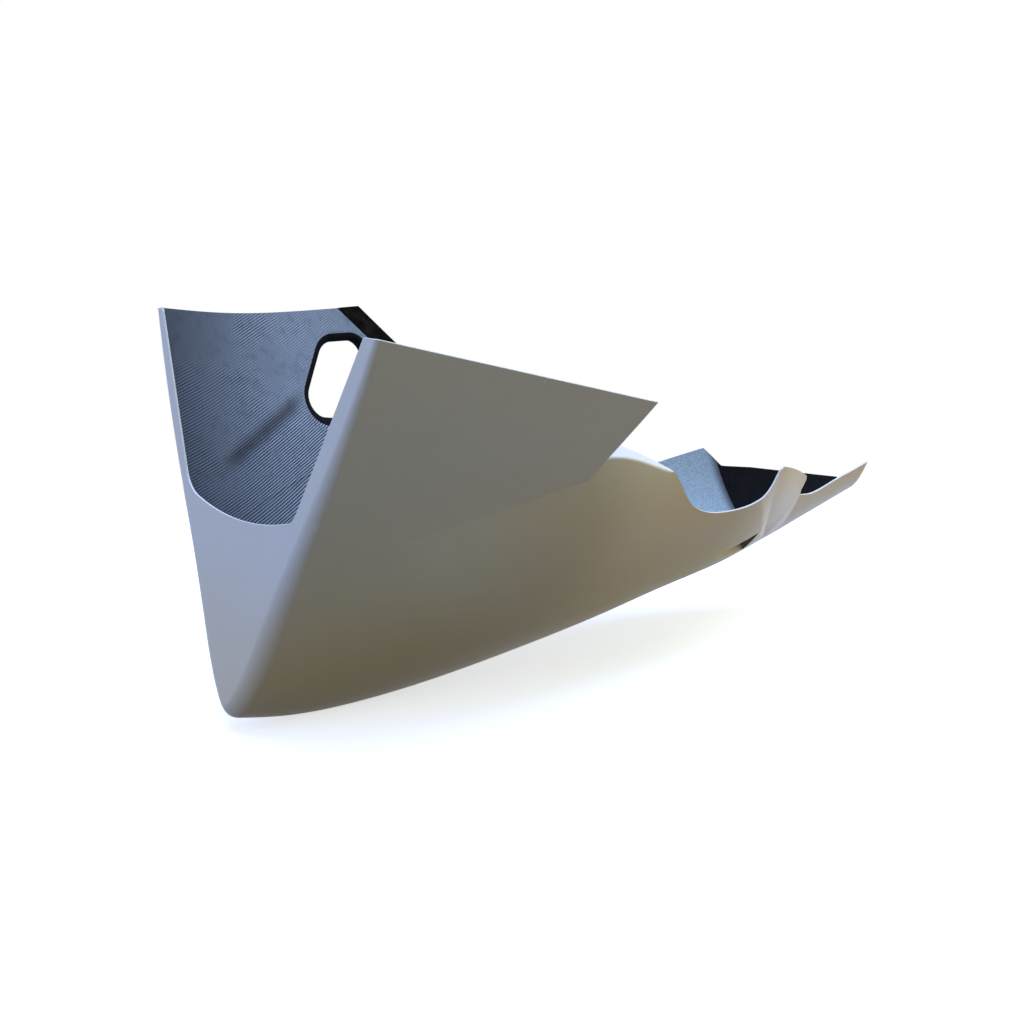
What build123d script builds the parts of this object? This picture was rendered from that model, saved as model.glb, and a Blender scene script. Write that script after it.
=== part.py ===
from build123d import *
import os
from math import hypot
from typing import NamedTuple

# Belly pan of a racing motorbike: one moulded laminate shell, open on top.
# It is drawn from the tip of its nose: X rearward, Y to the bike's right, Z up, in mm.
# Every cross-section lies in a plane that leans back as much as the front face does.

LAMINATE = 2.0
RAKE = 0.13

# The frame's origin: centre plane, between the wing edges that meet the side fairings.
JOINT_FROM_NOSE = (190.0, 0.0, 310.0)



class Station(NamedTuple):
    """Sizes of one hull section, between the keel and the shoulder."""

    at: float
    keel_height: float
    shoulder_half_width: float
    shoulder_height: float
    shoulder_lean: float
    wall_reach: float
    floor_reach: float
    taper: float


BODY_STATIONS = [
    Station(0, -3, 100, 155, 0.47, 86, 30, 0.35),
    Station(60, -14, 117, 175, 0.42, 92, 34, 0.33),
    Station(130, -17, 134, 190, 0.30, 95, 42, 0.28),
    Station(210, -11, 152, 210, 0.14, 100, 60, 0.20),
    Station(290, 1, 167, 224, 0.03, 105, 76, 0.02),
    Station(386, 18, 154, 197, 0.08, 92, 82, -0.12),
    Station(480, 34, 145, 190, 0.10, 80, 76, -0.12),
    Station(570, 46.5, 131, 184, 0.12, 70, 66, -0.32),
    Station(630, 55, 103, 176, 0.16, 62, 50, -0.52),
    Station(690, 63.5, 67, 162, 0.22, 50, 30, -0.40),
]
TAIL_STATIONS = [
    BODY_STATIONS[-1],
    Station(770, 85, 51, 160, 0.24, 40, 22, -0.20),
    Station(870, 113.5, 33, 155, 0.26, 26, 14, -0.18),
]
ROOF_SLOPE = 0.5

# How the inner form's section follows the laminate's thickness.
KEEL_INSET_FACTOR = 1.03
FLOOR_INSET_FACTOR = 0.35
SHOULDER_INSET_FACTOR = 1.3

# Wings: half-width grows with height along a parabola and with distance behind the nose.
WING_SPREAD = 0.735
WING_CURVE = 0.00050
WING_FLARE = 0.127
WING_LENGTH = 352.0
WING_FOOT = 80.0
WING_TOP = 372.0
WING_LEAN_FACTOR = 1.13

NOSE_ROUNDING = 8.0

# Wheel opening in the front face, across the nose.
OPENING_BOTTOM = 176.5
OPENING_CORNER_HEIGHT = 190.0
OPENING_LEFT_CORNER = 93.5
OPENING_RIGHT_CORNER = 99.6
OPENING_TOP = 380.0
OPENING_SIDE_SLOPE = 0.52
OPENING_LEFT_RADIUS = 22.0
OPENING_RIGHT_RADIUS = 38.0
OPENING_DEPTH = 9.0

# Wing edges in side view, from the nose.
WING_FRONT_TOP = (45.5, 350.2)
LEFT_WING_TIP = (338.5, 276.4)
RIGHT_WING_CROWN = [(120.0, 340.6), (205.0, 337.2), (266.0, 337.3)]
RIGHT_WING_TIP = (334.8, 268.5)
WING_ROOT = (291.5, 205.5)
STEP_WEB_TOP = 227.5
STEP_WEB = 2.6

# Lip behind the right wing: from the fold at its back to a free edge turned outward.
LIP_EDGE = [(298.0, 336.6), (353.5, 279.5)]
LIP_TURN_OUT = 10.0
LIP_ROOT = 1.5
LIP_END_GAP = 0.4

# Ledge behind the wings, that turns in from the shoulder, in plan (x, half-width).
LEDGE_EDGE = [(200.0, 148.0), (392.0, 148.0), (405.0, 150.5), (411.0, 158.0)]
LEDGE_FLOOR = [(200.0, 206.0), (319.0, 220.0), (365.0, 208.0), (411.0, 193.0), (480.0, 193.0)]

# Free edges of the body behind the ledge, in side view, from the nose.
SCALLOP_FRONT = [
    (411.0, 196.0), (421.0, 184.5), (431.2, 171.5), (444.0, 159.5), (460.0, 150.8), (482.0, 144.4),
]
LEFT_SCALLOP = SCALLOP_FRONT + [
    (510.0, 141.7), (537.0, 142.4), (558.0, 146.4), (573.0, 153.2), (584.0, 164.0), (592.0, 174.0),
]
LEFT_TAB = [(600.0, 176.4), (630.7, 168.7), (669.4, 156.8), (702.0, 145.8)]
LEFT_TAB_NOSE = (707.5, 140.5)
LEFT_NOTCH = [(699.5, 130.0), (703.5, 123.8), (715.0, 120.0)]
LEFT_TAIL = [(729.4, 118.2), (782.9, 127.2), (815.0, 133.6), (850.0, 141.5)]
RIGHT_SCALLOP = SCALLOP_FRONT + [(510.0, 140.0), (560.0, 136.5), (600.0, 139.0)]
RIGHT_PEAK = [(633.7, 145.8), (684.0, 159.5), (690.5, 151.0), (699.3, 138.4)]
RIGHT_TAIL = [(736.5, 133.9), (779.7, 126.2), (872.0, 109.8)]
TAIL_END = (851.0, 118.8)
TAIL_END_SLOPE = 0.206
TAIL_END_SKEW = 0.24

# Vent in the right wing, in side view, with a collar turned outward.
VENT_CORNERS = [(188.0, 234.0), (236.0, 303.5), (301.0, 302.5), (239.0, 226.0)]
VENT_RADII = [19.0, 22.0, 15.0, 14.0]
VENT_COLLAR = 8.0

# Wedge-shaped pocket low on the left side.
POCKET_TIP = (524.0, -90.8, 80.1)
POCKET_DEEP = (602.0, -59.6, 84.7)
POCKET_BACK_TOP = (602.0, -86.5, 97.3)
POCKET_BACK_FOOT = (602.0, -65.5, 76.0)
POCKET_TIP_REACH = 1.3
POCKET_BACK_REACH = 3.0

CUT_PAST = 1.0
OVERCUT = 10.0
OPENING_REACH = 60.0
BIG = 600.0
EDGE_MARGIN = 1.0


def on_section(at, y, z):
    """A point of the section plane that starts `at` behind the nose tip."""
    return Vector(at + RAKE * z, y, z)


def section_face(corners):
    """Face bounded by a closed run of edges."""
    return Face(Wire(corners))


def hull_section(station, inset):
    """Closed hull section: rounded wall each side and a low roof over the shoulders."""
    wall = inset * hypot(1, station.taper)
    lean_length = hypot(1, station.shoulder_lean)
    shift_y, shift_z = wall / lean_length, -wall * station.shoulder_lean / lean_length
    keel = station.keel_height + inset * KEEL_INSET_FACTOR
    floor_reach = station.floor_reach - inset * FLOOR_INSET_FACTOR
    drop = inset * SHOULDER_INSET_FACTOR
    shoulder_y = station.shoulder_half_width - shift_y
    shoulder_z = station.shoulder_height - shift_z - drop
    guide_y = shoulder_y - station.shoulder_lean * (station.wall_reach - drop)
    guide_z = shoulder_z - station.wall_reach + drop
    ridge = shoulder_z + ROOF_SLOPE * shoulder_y

    def wall_edge(side):
        return Edge.make_bezier(
            on_section(station.at, 0, keel),
            on_section(station.at, side * floor_reach, keel),
            on_section(station.at, side * guide_y, guide_z),
            on_section(station.at, side * shoulder_y, shoulder_z),
        )

    def roof_edge(side):
        return Edge.make_line(
            on_section(station.at, side * shoulder_y, shoulder_z),
            on_section(station.at, 0, ridge),
        )

    return section_face([wall_edge(1), roof_edge(1), roof_edge(-1), wall_edge(-1)])


def hull(inset):
    """Closed solid inside the hull's skin, moved in by the inset."""
    body = loft([hull_section(s, inset) for s in BODY_STATIONS])
    tail = loft([hull_section(s, inset) for s in TAIL_STATIONS])
    return body + tail


def wing_half_width(at, z, inset=0.0):
    """Half-width across the outer faces of the wings."""
    return WING_SPREAD * z - WING_CURVE * z * z + WING_FLARE * at - WING_LEAN_FACTOR * inset


def wing_section(at, inset):
    """Closed section between the two wings; each side is one exact parabola."""
    middle = (WING_FOOT + WING_TOP) / 2
    half = (WING_TOP - WING_FOOT) / 2
    sides = []
    for side in (1, -1):
        foot = wing_half_width(at, WING_FOOT, inset)
        top = wing_half_width(at, WING_TOP, inset)
        guide = wing_half_width(at, middle, inset) + WING_CURVE * half * half
        sides.append(Edge.make_bezier(
            on_section(at, side * foot, WING_FOOT),
            on_section(at, side * guide, middle),
            on_section(at, side * top, WING_TOP),
        ))
    top_edge = Edge.make_line(sides[0] @ 1, sides[1] @ 1)
    foot_edge = Edge.make_line(sides[0] @ 0, sides[1] @ 0)
    return section_face([sides[0], top_edge, sides[1], foot_edge])


def wings(inset):
    """Closed solid between the two wings' outer faces, moved in by the inset."""
    return loft([wing_section(0, inset), wing_section(WING_LENGTH, inset)], ruled=True)


def side_prism(points, side, skew=0.0):
    """Prism across one side of the pan, from an outline in side view (x, z)."""
    outline = Polyline(*((x, 0, z) for x, z in points), close=True)
    return extrude(Face(Wire(outline.edges())), amount=BIG, dir=(side * skew, side, 0))


def wing_cutter(outline, side):
    """What lies above and behind one wing's edges."""
    root_x, root_z = WING_ROOT
    tip_x, tip_z = outline[-1]
    foot_x = root_x - (tip_x - root_x) / (tip_z - root_z) * (root_z - WING_FOOT)
    below = WING_FOOT - OVERCUT
    around = [(foot_x, below), (BIG, below), (BIG, BIG), (-BIG, BIG), (-BIG, outline[0][1])]
    return side_prism(outline + [(foot_x, WING_FOOT)] + around, side)


def wing_cavity_cutter(tip, side):
    """What the space between the wings leaves out, so that a web closes the step at the root."""
    root_x, root_z = WING_ROOT
    slope = (tip[0] - root_x) / (tip[1] - root_z)

    def edge_x(z):
        return root_x + slope * (z - root_z)

    above, below = WING_TOP + OVERCUT, WING_FOOT - OVERCUT
    outline = [
        (edge_x(above) + CUT_PAST, above),
        (edge_x(STEP_WEB_TOP) + CUT_PAST, STEP_WEB_TOP),
        (edge_x(STEP_WEB_TOP) - STEP_WEB, STEP_WEB_TOP),
        (edge_x(below) - STEP_WEB, below),
        (BIG, below),
        (BIG, above),
    ]
    return side_prism(outline, side)


def front_slab(depth):
    """Everything ahead of the plane that lies `depth` behind the front face."""
    low, high = -BIG / 2, BIG
    outline = [(depth + RAKE * low, low), (depth + RAKE * high, high), (-BIG, high), (-BIG, low)]
    return side_prism(outline, 1) + side_prism(outline, -1)


def front_edges(solid):
    """Edges round the front face, without the cut tops of the wings."""
    front = solid.faces().filter_by(GeomType.PLANE).sort_by(Axis.X)[0]
    top = WING_FRONT_TOP[1] - EDGE_MARGIN
    return [edge for edge in front.edges() if (edge @ 0.5).Z < top]


def outer_form():
    """Closed solid inside the outer skin."""
    left_line = [WING_FRONT_TOP, LEFT_WING_TIP]
    right_line = [WING_FRONT_TOP, *RIGHT_WING_CROWN, RIGHT_WING_TIP]
    panels = wings(0) - wing_cutter(left_line, -1) - wing_cutter(right_line, 1)
    form = hull(0) + panels
    return fillet(front_edges(form), NOSE_ROUNDING)


def inner_form():
    """Closed solid of the space inside the laminate."""
    space = wings(LAMINATE)
    space = space - wing_cavity_cutter(LEFT_WING_TIP, -1) - wing_cavity_cutter(RIGHT_WING_TIP, 1)
    space = hull(LAMINATE) + space
    space = space - front_slab(LAMINATE * hypot(1, RAKE))
    return fillet(front_edges(space), NOSE_ROUNDING - LAMINATE)


def wheel_opening():
    """Prism through the front face, with a rounded foot, open at the top."""
    rise = OPENING_TOP - OPENING_CORNER_HEIGHT
    spread = OPENING_SIDE_SLOPE * rise
    left, right = -OPENING_LEFT_CORNER, OPENING_RIGHT_CORNER

    def at(y, z):
        return on_section(OPENING_DEPTH, y, z)

    left_top = at(left - spread, OPENING_TOP)
    right_top = at(right + spread, OPENING_TOP)
    left_foot = at(left, OPENING_CORNER_HEIGHT)
    right_foot = at(right, OPENING_CORNER_HEIGHT)
    outline = Face(Wire([
        Edge.make_line(left_top, left_foot),
        Edge.make_three_point_arc(left_foot, at(0, OPENING_BOTTOM), right_foot),
        Edge.make_line(right_foot, right_top),
        Edge.make_line(right_top, left_top),
    ]))
    prism = extrude(outline, amount=OPENING_REACH, dir=(-1, 0, 0))
    left_corner = prism.edges().filter_by(Axis.X).sort_by_distance(left_foot)[0]
    prism = fillet(left_corner, OPENING_LEFT_RADIUS)
    right_corner = prism.edges().filter_by(Axis.X).sort_by_distance(right_foot)[0]
    return fillet(right_corner, OPENING_RIGHT_RADIUS)


def roof_opening():
    """Prism that opens the hull's roof between the two ledges."""
    right = [(x, y, 0) for x, y in LEDGE_EDGE]
    left = [(x, -y, 0) for x, y in reversed(LEDGE_EDGE)]
    back = LEDGE_FLOOR[-1][0]
    rear = [(back, right[-1][1], 0), (back, left[0][1], 0)]
    outline = Polyline(*right, *rear, *left, close=True)
    plan = extrude(Face(Wire(outline.edges())), amount=BIG, dir=(0, 0, 1))
    above = [*LEDGE_FLOOR, (LEDGE_FLOOR[-1][0], BIG), (LEDGE_FLOOR[0][0], BIG)]
    return plan & (side_prism(above, 1) + side_prism(above, -1))


def smooth_then_straight(runs):
    """Face in side view above a chain of splines and straight lines."""
    edges = []
    last = None
    for kind, points in runs:
        spots = [Vector(x, 0, z) for x, z in points]
        if last is not None:
            spots = [last, *spots]
        if kind == "curve":
            edges.append(Edge.make_spline(spots))
        else:
            edges += [Edge.make_line(a, b) for a, b in zip(spots, spots[1:])]
        last = spots[-1]
    start = edges[0] @ 0
    far = BIG * 2
    spots = [last, Vector(far, 0, last.Z), Vector(far, 0, BIG), Vector(start.X, 0, BIG), start]
    edges += [Edge.make_line(a, b) for a, b in zip(spots, spots[1:])]
    return Face(Wire(edges))


def left_edge_cutter():
    """What lies above the left free edge: scallop, tab, notch and rising tail."""
    runs = [
        ("curve", LEFT_SCALLOP),
        ("line", LEFT_TAB[:1]),
        ("curve", LEFT_TAB[1:]),
        ("line", [LEFT_TAB_NOSE, LEFT_NOTCH[0]]),
        ("curve", LEFT_NOTCH[1:]),
        ("curve", LEFT_TAIL),
    ]
    return extrude(smooth_then_straight(runs), amount=BIG, dir=(0, -1, 0))


def right_edge_cutter():
    """What lies above the right free edge: scallop, peak and falling tail."""
    runs = [
        ("curve", RIGHT_SCALLOP),
        ("line", RIGHT_PEAK[:2]),
        ("line", RIGHT_PEAK[2:]),
        ("line", RIGHT_TAIL),
    ]
    return extrude(smooth_then_straight(runs), amount=BIG, dir=(0, 1, 0))


def tail_cutter():
    """Everything behind the tail's rear end."""
    x, z = TAIL_END
    low, high = -BIG / 2, BIG
    outline = [
        (x + TAIL_END_SLOPE * (low - z), low),
        (x + TAIL_END_SLOPE * (high - z), high),
        (BIG * 3, high),
        (BIG * 3, low),
    ]
    return side_prism(outline, 1, TAIL_END_SKEW) + side_prism(outline, -1, TAIL_END_SKEW)


def vent_prism(grow):
    """Prism of the vent's outline, grown by a wall, across the right side."""
    corners = [Vector(x, 0, z) for x, z in VENT_CORNERS]
    outline = Polyline(*corners, close=True)
    prism = extrude(Face(Wire(outline.edges())), amount=BIG, dir=(0, 1, 0))
    for corner, radius in zip(corners, VENT_RADII):
        edge = prism.edges().filter_by(Axis.Y).sort_by_distance(corner)[0]
        prism = fillet(edge, radius)
    if grow:
        prism = offset(prism, grow)
    return prism


def vent_collar():
    """Lip round the vent, from inside the laminate to its outer rim."""
    ring = vent_prism(LAMINATE) & wings(-VENT_COLLAR)
    return ring - wings(LAMINATE / 2) - vent_prism(0)


def pocket_wedge(wall):
    """Wedge that sinks from the skin towards its back end, thickened by a wall."""
    deep = Vector(*POCKET_DEEP)
    to_tip = Vector(*POCKET_TIP) - deep
    to_top = Vector(*POCKET_BACK_TOP) - deep
    to_foot = Vector(*POCKET_BACK_FOOT) - deep
    upper = to_top.cross(to_tip).normalized()
    ramp = to_tip.cross(to_foot).normalized()
    back = to_foot.cross(to_top).normalized()
    inward = ramp.cross(back) + back.cross(upper) + upper.cross(ramp)
    corner = deep - inward * (wall / upper.dot(ramp.cross(back)))
    top = corner + to_top * POCKET_BACK_REACH
    foot = corner + to_foot * POCKET_BACK_REACH
    base = Polyline(corner, top, foot, close=True)
    return loft([Face(Wire(base.edges())), Vertex(*(corner + to_tip * POCKET_TIP_REACH))], ruled=True)


def right_wing_lip():
    """Strip behind the right wing's fold, turned outward."""
    fold = [RIGHT_WING_CROWN[-1], RIGHT_WING_TIP]
    ends = []
    for (fold_x, fold_z), (edge_x, edge_z) in zip(fold, LIP_EDGE):
        root = Vector(fold_x, wing_half_width(fold_x - RAKE * fold_z, fold_z), fold_z)
        edge = Vector(edge_x, wing_half_width(edge_x - RAKE * edge_z, edge_z) + LIP_TURN_OUT, edge_z)
        ends.append((root, edge))
    along = (ends[1][0] - ends[0][0]).normalized()
    faces = []
    for way, (root, edge) in zip((1, -1), ends):
        root = root + along * (way * LIP_END_GAP)
        out = (edge - root).normalized()
        inward = along.cross(out).normalized()
        if inward.Y > 0:
            inward = inward * -1
        start = root - out * LIP_ROOT
        corners = [start, edge, edge + inward * LAMINATE, start + inward * LAMINATE]
        faces.append(Face(Wire(Polyline(*corners, close=True).edges())))
    return loft(faces, ruled=True)


def fairing():
    """The whole shell, still measured from the nose tip."""
    outer = outer_form()
    shell = outer - inner_form() - wheel_opening() - roof_opening()
    shell = shell - left_edge_cutter() - right_edge_cutter() - tail_cutter()
    shell = shell + right_wing_lip() - vent_prism(0) + vent_collar()
    return shell + (pocket_wedge(LAMINATE) & outer) - pocket_wedge(0)


lower_fairing = fairing().moved(Location(Vector(*JOINT_FROM_NOSE) * -1))
lower_fairing.label = "lower_fairing"
os.makedirs("parts", exist_ok=True)
export_step(lower_fairing, "parts/lower_fairing.step")
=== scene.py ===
"""Lower fairing of a racing motorbike: one laminate shell, dressed for the render.

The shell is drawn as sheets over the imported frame. Each sheet is filled in its own flat coordinates,
set on the skin, and given the laminate's thickness, so that it has an outer skin, an inner skin and a rim.
Lengths are in mm from the tip of the nose (X rearward, Y to the bike's right, Z up) until the mesh is made.
"""

import logging
import math
from dataclasses import dataclass, field
from enum import Enum
from typing import Callable, Optional, Sequence

import bpy
import numpy as np
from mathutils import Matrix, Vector
from mathutils.geometry import delaunay_2d_cdt
from mathutils.kdtree import KDTree


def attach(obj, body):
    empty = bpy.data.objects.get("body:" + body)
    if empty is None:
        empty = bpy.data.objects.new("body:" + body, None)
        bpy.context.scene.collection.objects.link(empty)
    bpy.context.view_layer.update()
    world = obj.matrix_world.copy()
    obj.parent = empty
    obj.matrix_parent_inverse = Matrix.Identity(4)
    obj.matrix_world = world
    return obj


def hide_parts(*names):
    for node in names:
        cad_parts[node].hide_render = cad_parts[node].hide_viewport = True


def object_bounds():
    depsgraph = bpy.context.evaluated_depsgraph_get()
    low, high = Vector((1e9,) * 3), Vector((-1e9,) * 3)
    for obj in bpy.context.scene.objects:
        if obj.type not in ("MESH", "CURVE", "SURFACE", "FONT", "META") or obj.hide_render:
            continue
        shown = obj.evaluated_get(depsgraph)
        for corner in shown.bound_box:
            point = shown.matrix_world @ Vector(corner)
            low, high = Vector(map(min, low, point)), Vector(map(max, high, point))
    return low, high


logging.basicConfig(level=logging.INFO, format="%(name)s: %(message)s")
log = logging.getLogger("lower_fairing")

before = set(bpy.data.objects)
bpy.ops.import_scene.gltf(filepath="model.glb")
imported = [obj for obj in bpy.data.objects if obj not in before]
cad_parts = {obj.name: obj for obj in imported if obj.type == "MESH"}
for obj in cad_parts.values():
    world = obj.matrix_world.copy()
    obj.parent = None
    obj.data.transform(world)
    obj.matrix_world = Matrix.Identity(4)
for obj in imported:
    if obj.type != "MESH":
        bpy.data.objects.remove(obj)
CAD_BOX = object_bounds()

Array = np.ndarray
Surface = Callable[[Array, Array], Array]
JOINT_FROM_NOSE = np.array([190.0, 0.0, 310.0])
RAKE = 0.13
LAMINATE = 2.0


class Side(Enum):
    """A side of the bike, as the sign of Y."""

    LEFT = -1
    RIGHT = 1


class Finish(Enum):
    """The shell's finishes, in the order of the mesh's material slots."""

    GELCOAT = 0
    CLOTH = 1
    CUT_EDGE = 2
    PAINTED_SHADE = 3
    NEAR_BLACK = 4


class Layer(Enum):
    """Which face of the laminate a sheet is. Points become one only within a layer."""

    OUTER = 0
    INNER = 1
    EDGE = 2


# Curves and outlines.


class Spline:
    """Natural cubic curve through rows of values."""

    def __init__(self, at: Sequence[float], values: Sequence) -> None:
        """Fits the curve.

        Args:
            at: rising places of the rows.
            values: one row of values a place.
        """
        self.at = np.asarray(at, float)
        self.values = np.asarray(values, float).reshape(len(self.at), -1)
        gap = np.diff(self.at)
        slope = np.diff(self.values, axis=0) / gap[:, None]
        count = len(self.at)
        matrix = np.eye(count)
        right = np.zeros_like(self.values)
        for i in range(1, count - 1):
            matrix[i, i - 1:i + 2] = gap[i - 1], 2 * (gap[i - 1] + gap[i]), gap[i]
            right[i] = 6 * (slope[i] - slope[i - 1])
        self.bend = np.linalg.solve(matrix, right)
        self.gap, self.slope = gap, slope

    def __call__(self, at: Array) -> Array:
        """Rows of values at the given places."""
        at = np.atleast_1d(np.asarray(at, float))
        i = np.clip(np.searchsorted(self.at, at) - 1, 0, len(self.gap) - 1)
        gap = self.gap[i][:, None]
        u = at[:, None] - self.at[i][:, None]
        low, high = self.bend[i], self.bend[i + 1]
        linear = self.slope[i] - gap * (2 * low + high) / 6
        return self.values[i] + linear * u + low * u ** 2 / 2 + (high - low) * u ** 3 / (6 * gap)


def lengths(points: Array) -> Array:
    """Distance along a chain of points, from its first one."""
    return np.r_[0.0, np.cumsum(np.linalg.norm(np.diff(points, axis=0), axis=1))]


def chain(points: Sequence, spacing: float, smooth: bool = True) -> Array:
    """Even points along a curve.

    Args:
        points: the points it passes through.
        spacing: about how far apart the new points are.
        smooth: whether it bends smoothly, or runs straight from point to point.

    Returns:
        The new points, with both ends.
    """
    points = np.asarray(points, float)
    run = lengths(points)
    if not smooth or len(points) < 3:
        parts = []
        for a, b, long in zip(points, points[1:], np.diff(run)):
            steps = max(1, round(long / spacing))
            parts.append(a + (b - a) * np.arange(steps)[:, None] / steps)
        return np.vstack([*parts, points[-1:]])
    curve = Spline(run, points)
    fine = curve(np.linspace(0, run[-1], 400))
    far = lengths(fine)
    even = np.linspace(0, far[-1], max(2, round(far[-1] / spacing) + 1))
    return np.column_stack([np.interp(even, far, column) for column in fine.T])


def corner_arc(corner: Array, before: Array, after: Array, radius: float,
               spacing: float) -> tuple[Array, Array]:
    """Arc that rounds a corner.

    Args:
        corner: the sharp corner.
        before: unit direction of travel into it.
        after: unit direction of travel out of it.
        radius: the arc's radius.
        spacing: about how far apart its points are.

    Returns:
        The arc's points, and at each the direction away from its centre.
    """
    turn = math.acos(float(np.clip(before @ after, -1, 1)))
    inward = after - before
    inward = inward / np.linalg.norm(inward)
    centre = corner + inward * radius / math.cos(turn / 2)
    steps = max(4, round(radius * turn / spacing))
    share = np.linspace(-0.5, 0.5, steps + 1)[:, None] * turn
    along = (before + after) / np.linalg.norm(before + after)
    away = -inward * np.cos(share) + along * np.sin(share)
    return centre + away * radius, away


def arc(centre: Array, start: Array, end: Array, spacing: float) -> Array:
    """Even points on the shorter arc round a centre, from one point to another."""
    first, last = (math.atan2(*(point - centre)[::-1]) for point in (start, end))
    turn = (last - first + math.pi) % (2 * math.pi) - math.pi
    radius = float(np.linalg.norm(start - centre))
    steps = max(4, round(abs(turn) * radius / spacing))
    angle = first + turn * np.linspace(0, 1, steps + 1)
    return centre + radius * np.column_stack([np.cos(angle), np.sin(angle)])


def circle_through(points: Sequence[Array]) -> tuple[Array, float]:
    """Centre and radius of the circle through three points."""
    a, b, c = points
    centre = np.linalg.solve(2 * np.array([b - a, c - a]), [b @ b - a @ a, c @ c - a @ a])
    return centre, float(np.linalg.norm(a - centre))


def inside(points: Array, loops: Sequence[Array]) -> Array:
    """Which points lie inside an odd number of closed loops."""
    within = np.zeros(len(points), bool)
    x, y = points[:, 0], points[:, 1]
    for loop in loops:
        for (x1, y1), (x2, y2) in zip(loop, np.roll(loop, -1, axis=0)):
            if y1 != y2:
                within ^= ((y1 > y) != (y2 > y)) & (x < (x2 - x1) * (y - y1) / (y2 - y1) + x1)
    return within


def clear_run(line: Array, loops: Sequence[Array], gap: float) -> Array:
    """Longest stretch of a line that lies inside an outline, away from its border."""
    border = np.vstack(loops)
    near = np.linalg.norm(line[:, None] - border[None], axis=2).min(1)
    good = inside(line, loops) & (near > gap)
    runs = np.split(np.arange(len(line)), np.nonzero(np.diff(good.astype(int)))[0] + 1)
    return line[max((run for run in runs if good[run[0]]), key=len, default=np.arange(0))]


def fill(loops: Sequence[Array], spacing: float, seams: Sequence[Array] = ()) -> tuple[Array, Array]:
    """Fills an outline with even triangles.

    Args:
        loops: the closed outline, and then its holes.
        spacing: about how long the triangles' sides are.
        seams: lines inside the outline that the triangles' sides follow.

    Returns:
        The points, the loops' own first, and the triangles.
    """
    border = np.vstack([*loops, *seams])
    edges, start = [], 0
    for loop in loops:
        edges += [(start + i, start + (i + 1) % len(loop)) for i in range(len(loop))]
        start += len(loop)
    for seam in seams:
        edges += [(start + i, start + i + 1) for i in range(len(seam) - 1)]
        start += len(seam)
    low, high = border.min(0), border.max(0)
    rows = np.arange(low[1] + spacing / 2, high[1], spacing * 0.866)
    columns = np.arange(low[0] + spacing / 2, high[0], spacing)
    shift = (np.arange(len(rows)) % 2)[:, None] * spacing / 2
    grid = np.stack([columns[None, :] + shift, np.broadcast_to(rows[:, None], (len(rows), len(columns)))], -1)
    grid = grid.reshape(-1, 2)
    grid = grid[inside(grid, loops)]
    near = np.full(len(grid), np.inf)
    for part in np.array_split(border, max(1, len(border) // 100)):
        near = np.minimum(near, np.linalg.norm(grid[:, None] - part[None], axis=2).min(1))
    points = np.vstack([border, grid[near > spacing * 0.6]])
    made = delaunay_2d_cdt([Vector(p) for p in points], edges, [], 0, 1e-6)
    crossed = [tuple(v) for v, source in zip(made[0], made[3]) if not source]
    if crossed:
        raise ValueError(f"the outline crosses itself at {crossed[:4]}")
    origin = np.array([source[0] for source in made[3]])
    triangles = origin[np.array(made[2])]
    return points, triangles[inside(points[triangles].mean(1), loops)]


# The forms.


@dataclass(frozen=True)
class Station:
    """One leaning section of the hull: its place and the sizes of its rounded wall."""

    at: float
    keel_height: float
    shoulder_half_width: float
    shoulder_height: float
    shoulder_lean: float
    wall_reach: float
    floor_reach: float

    def row(self) -> list[float]:
        """The sizes that change from station to station."""
        return [self.keel_height, self.shoulder_half_width, self.shoulder_height,
                self.shoulder_lean, self.wall_reach, self.floor_reach]


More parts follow.
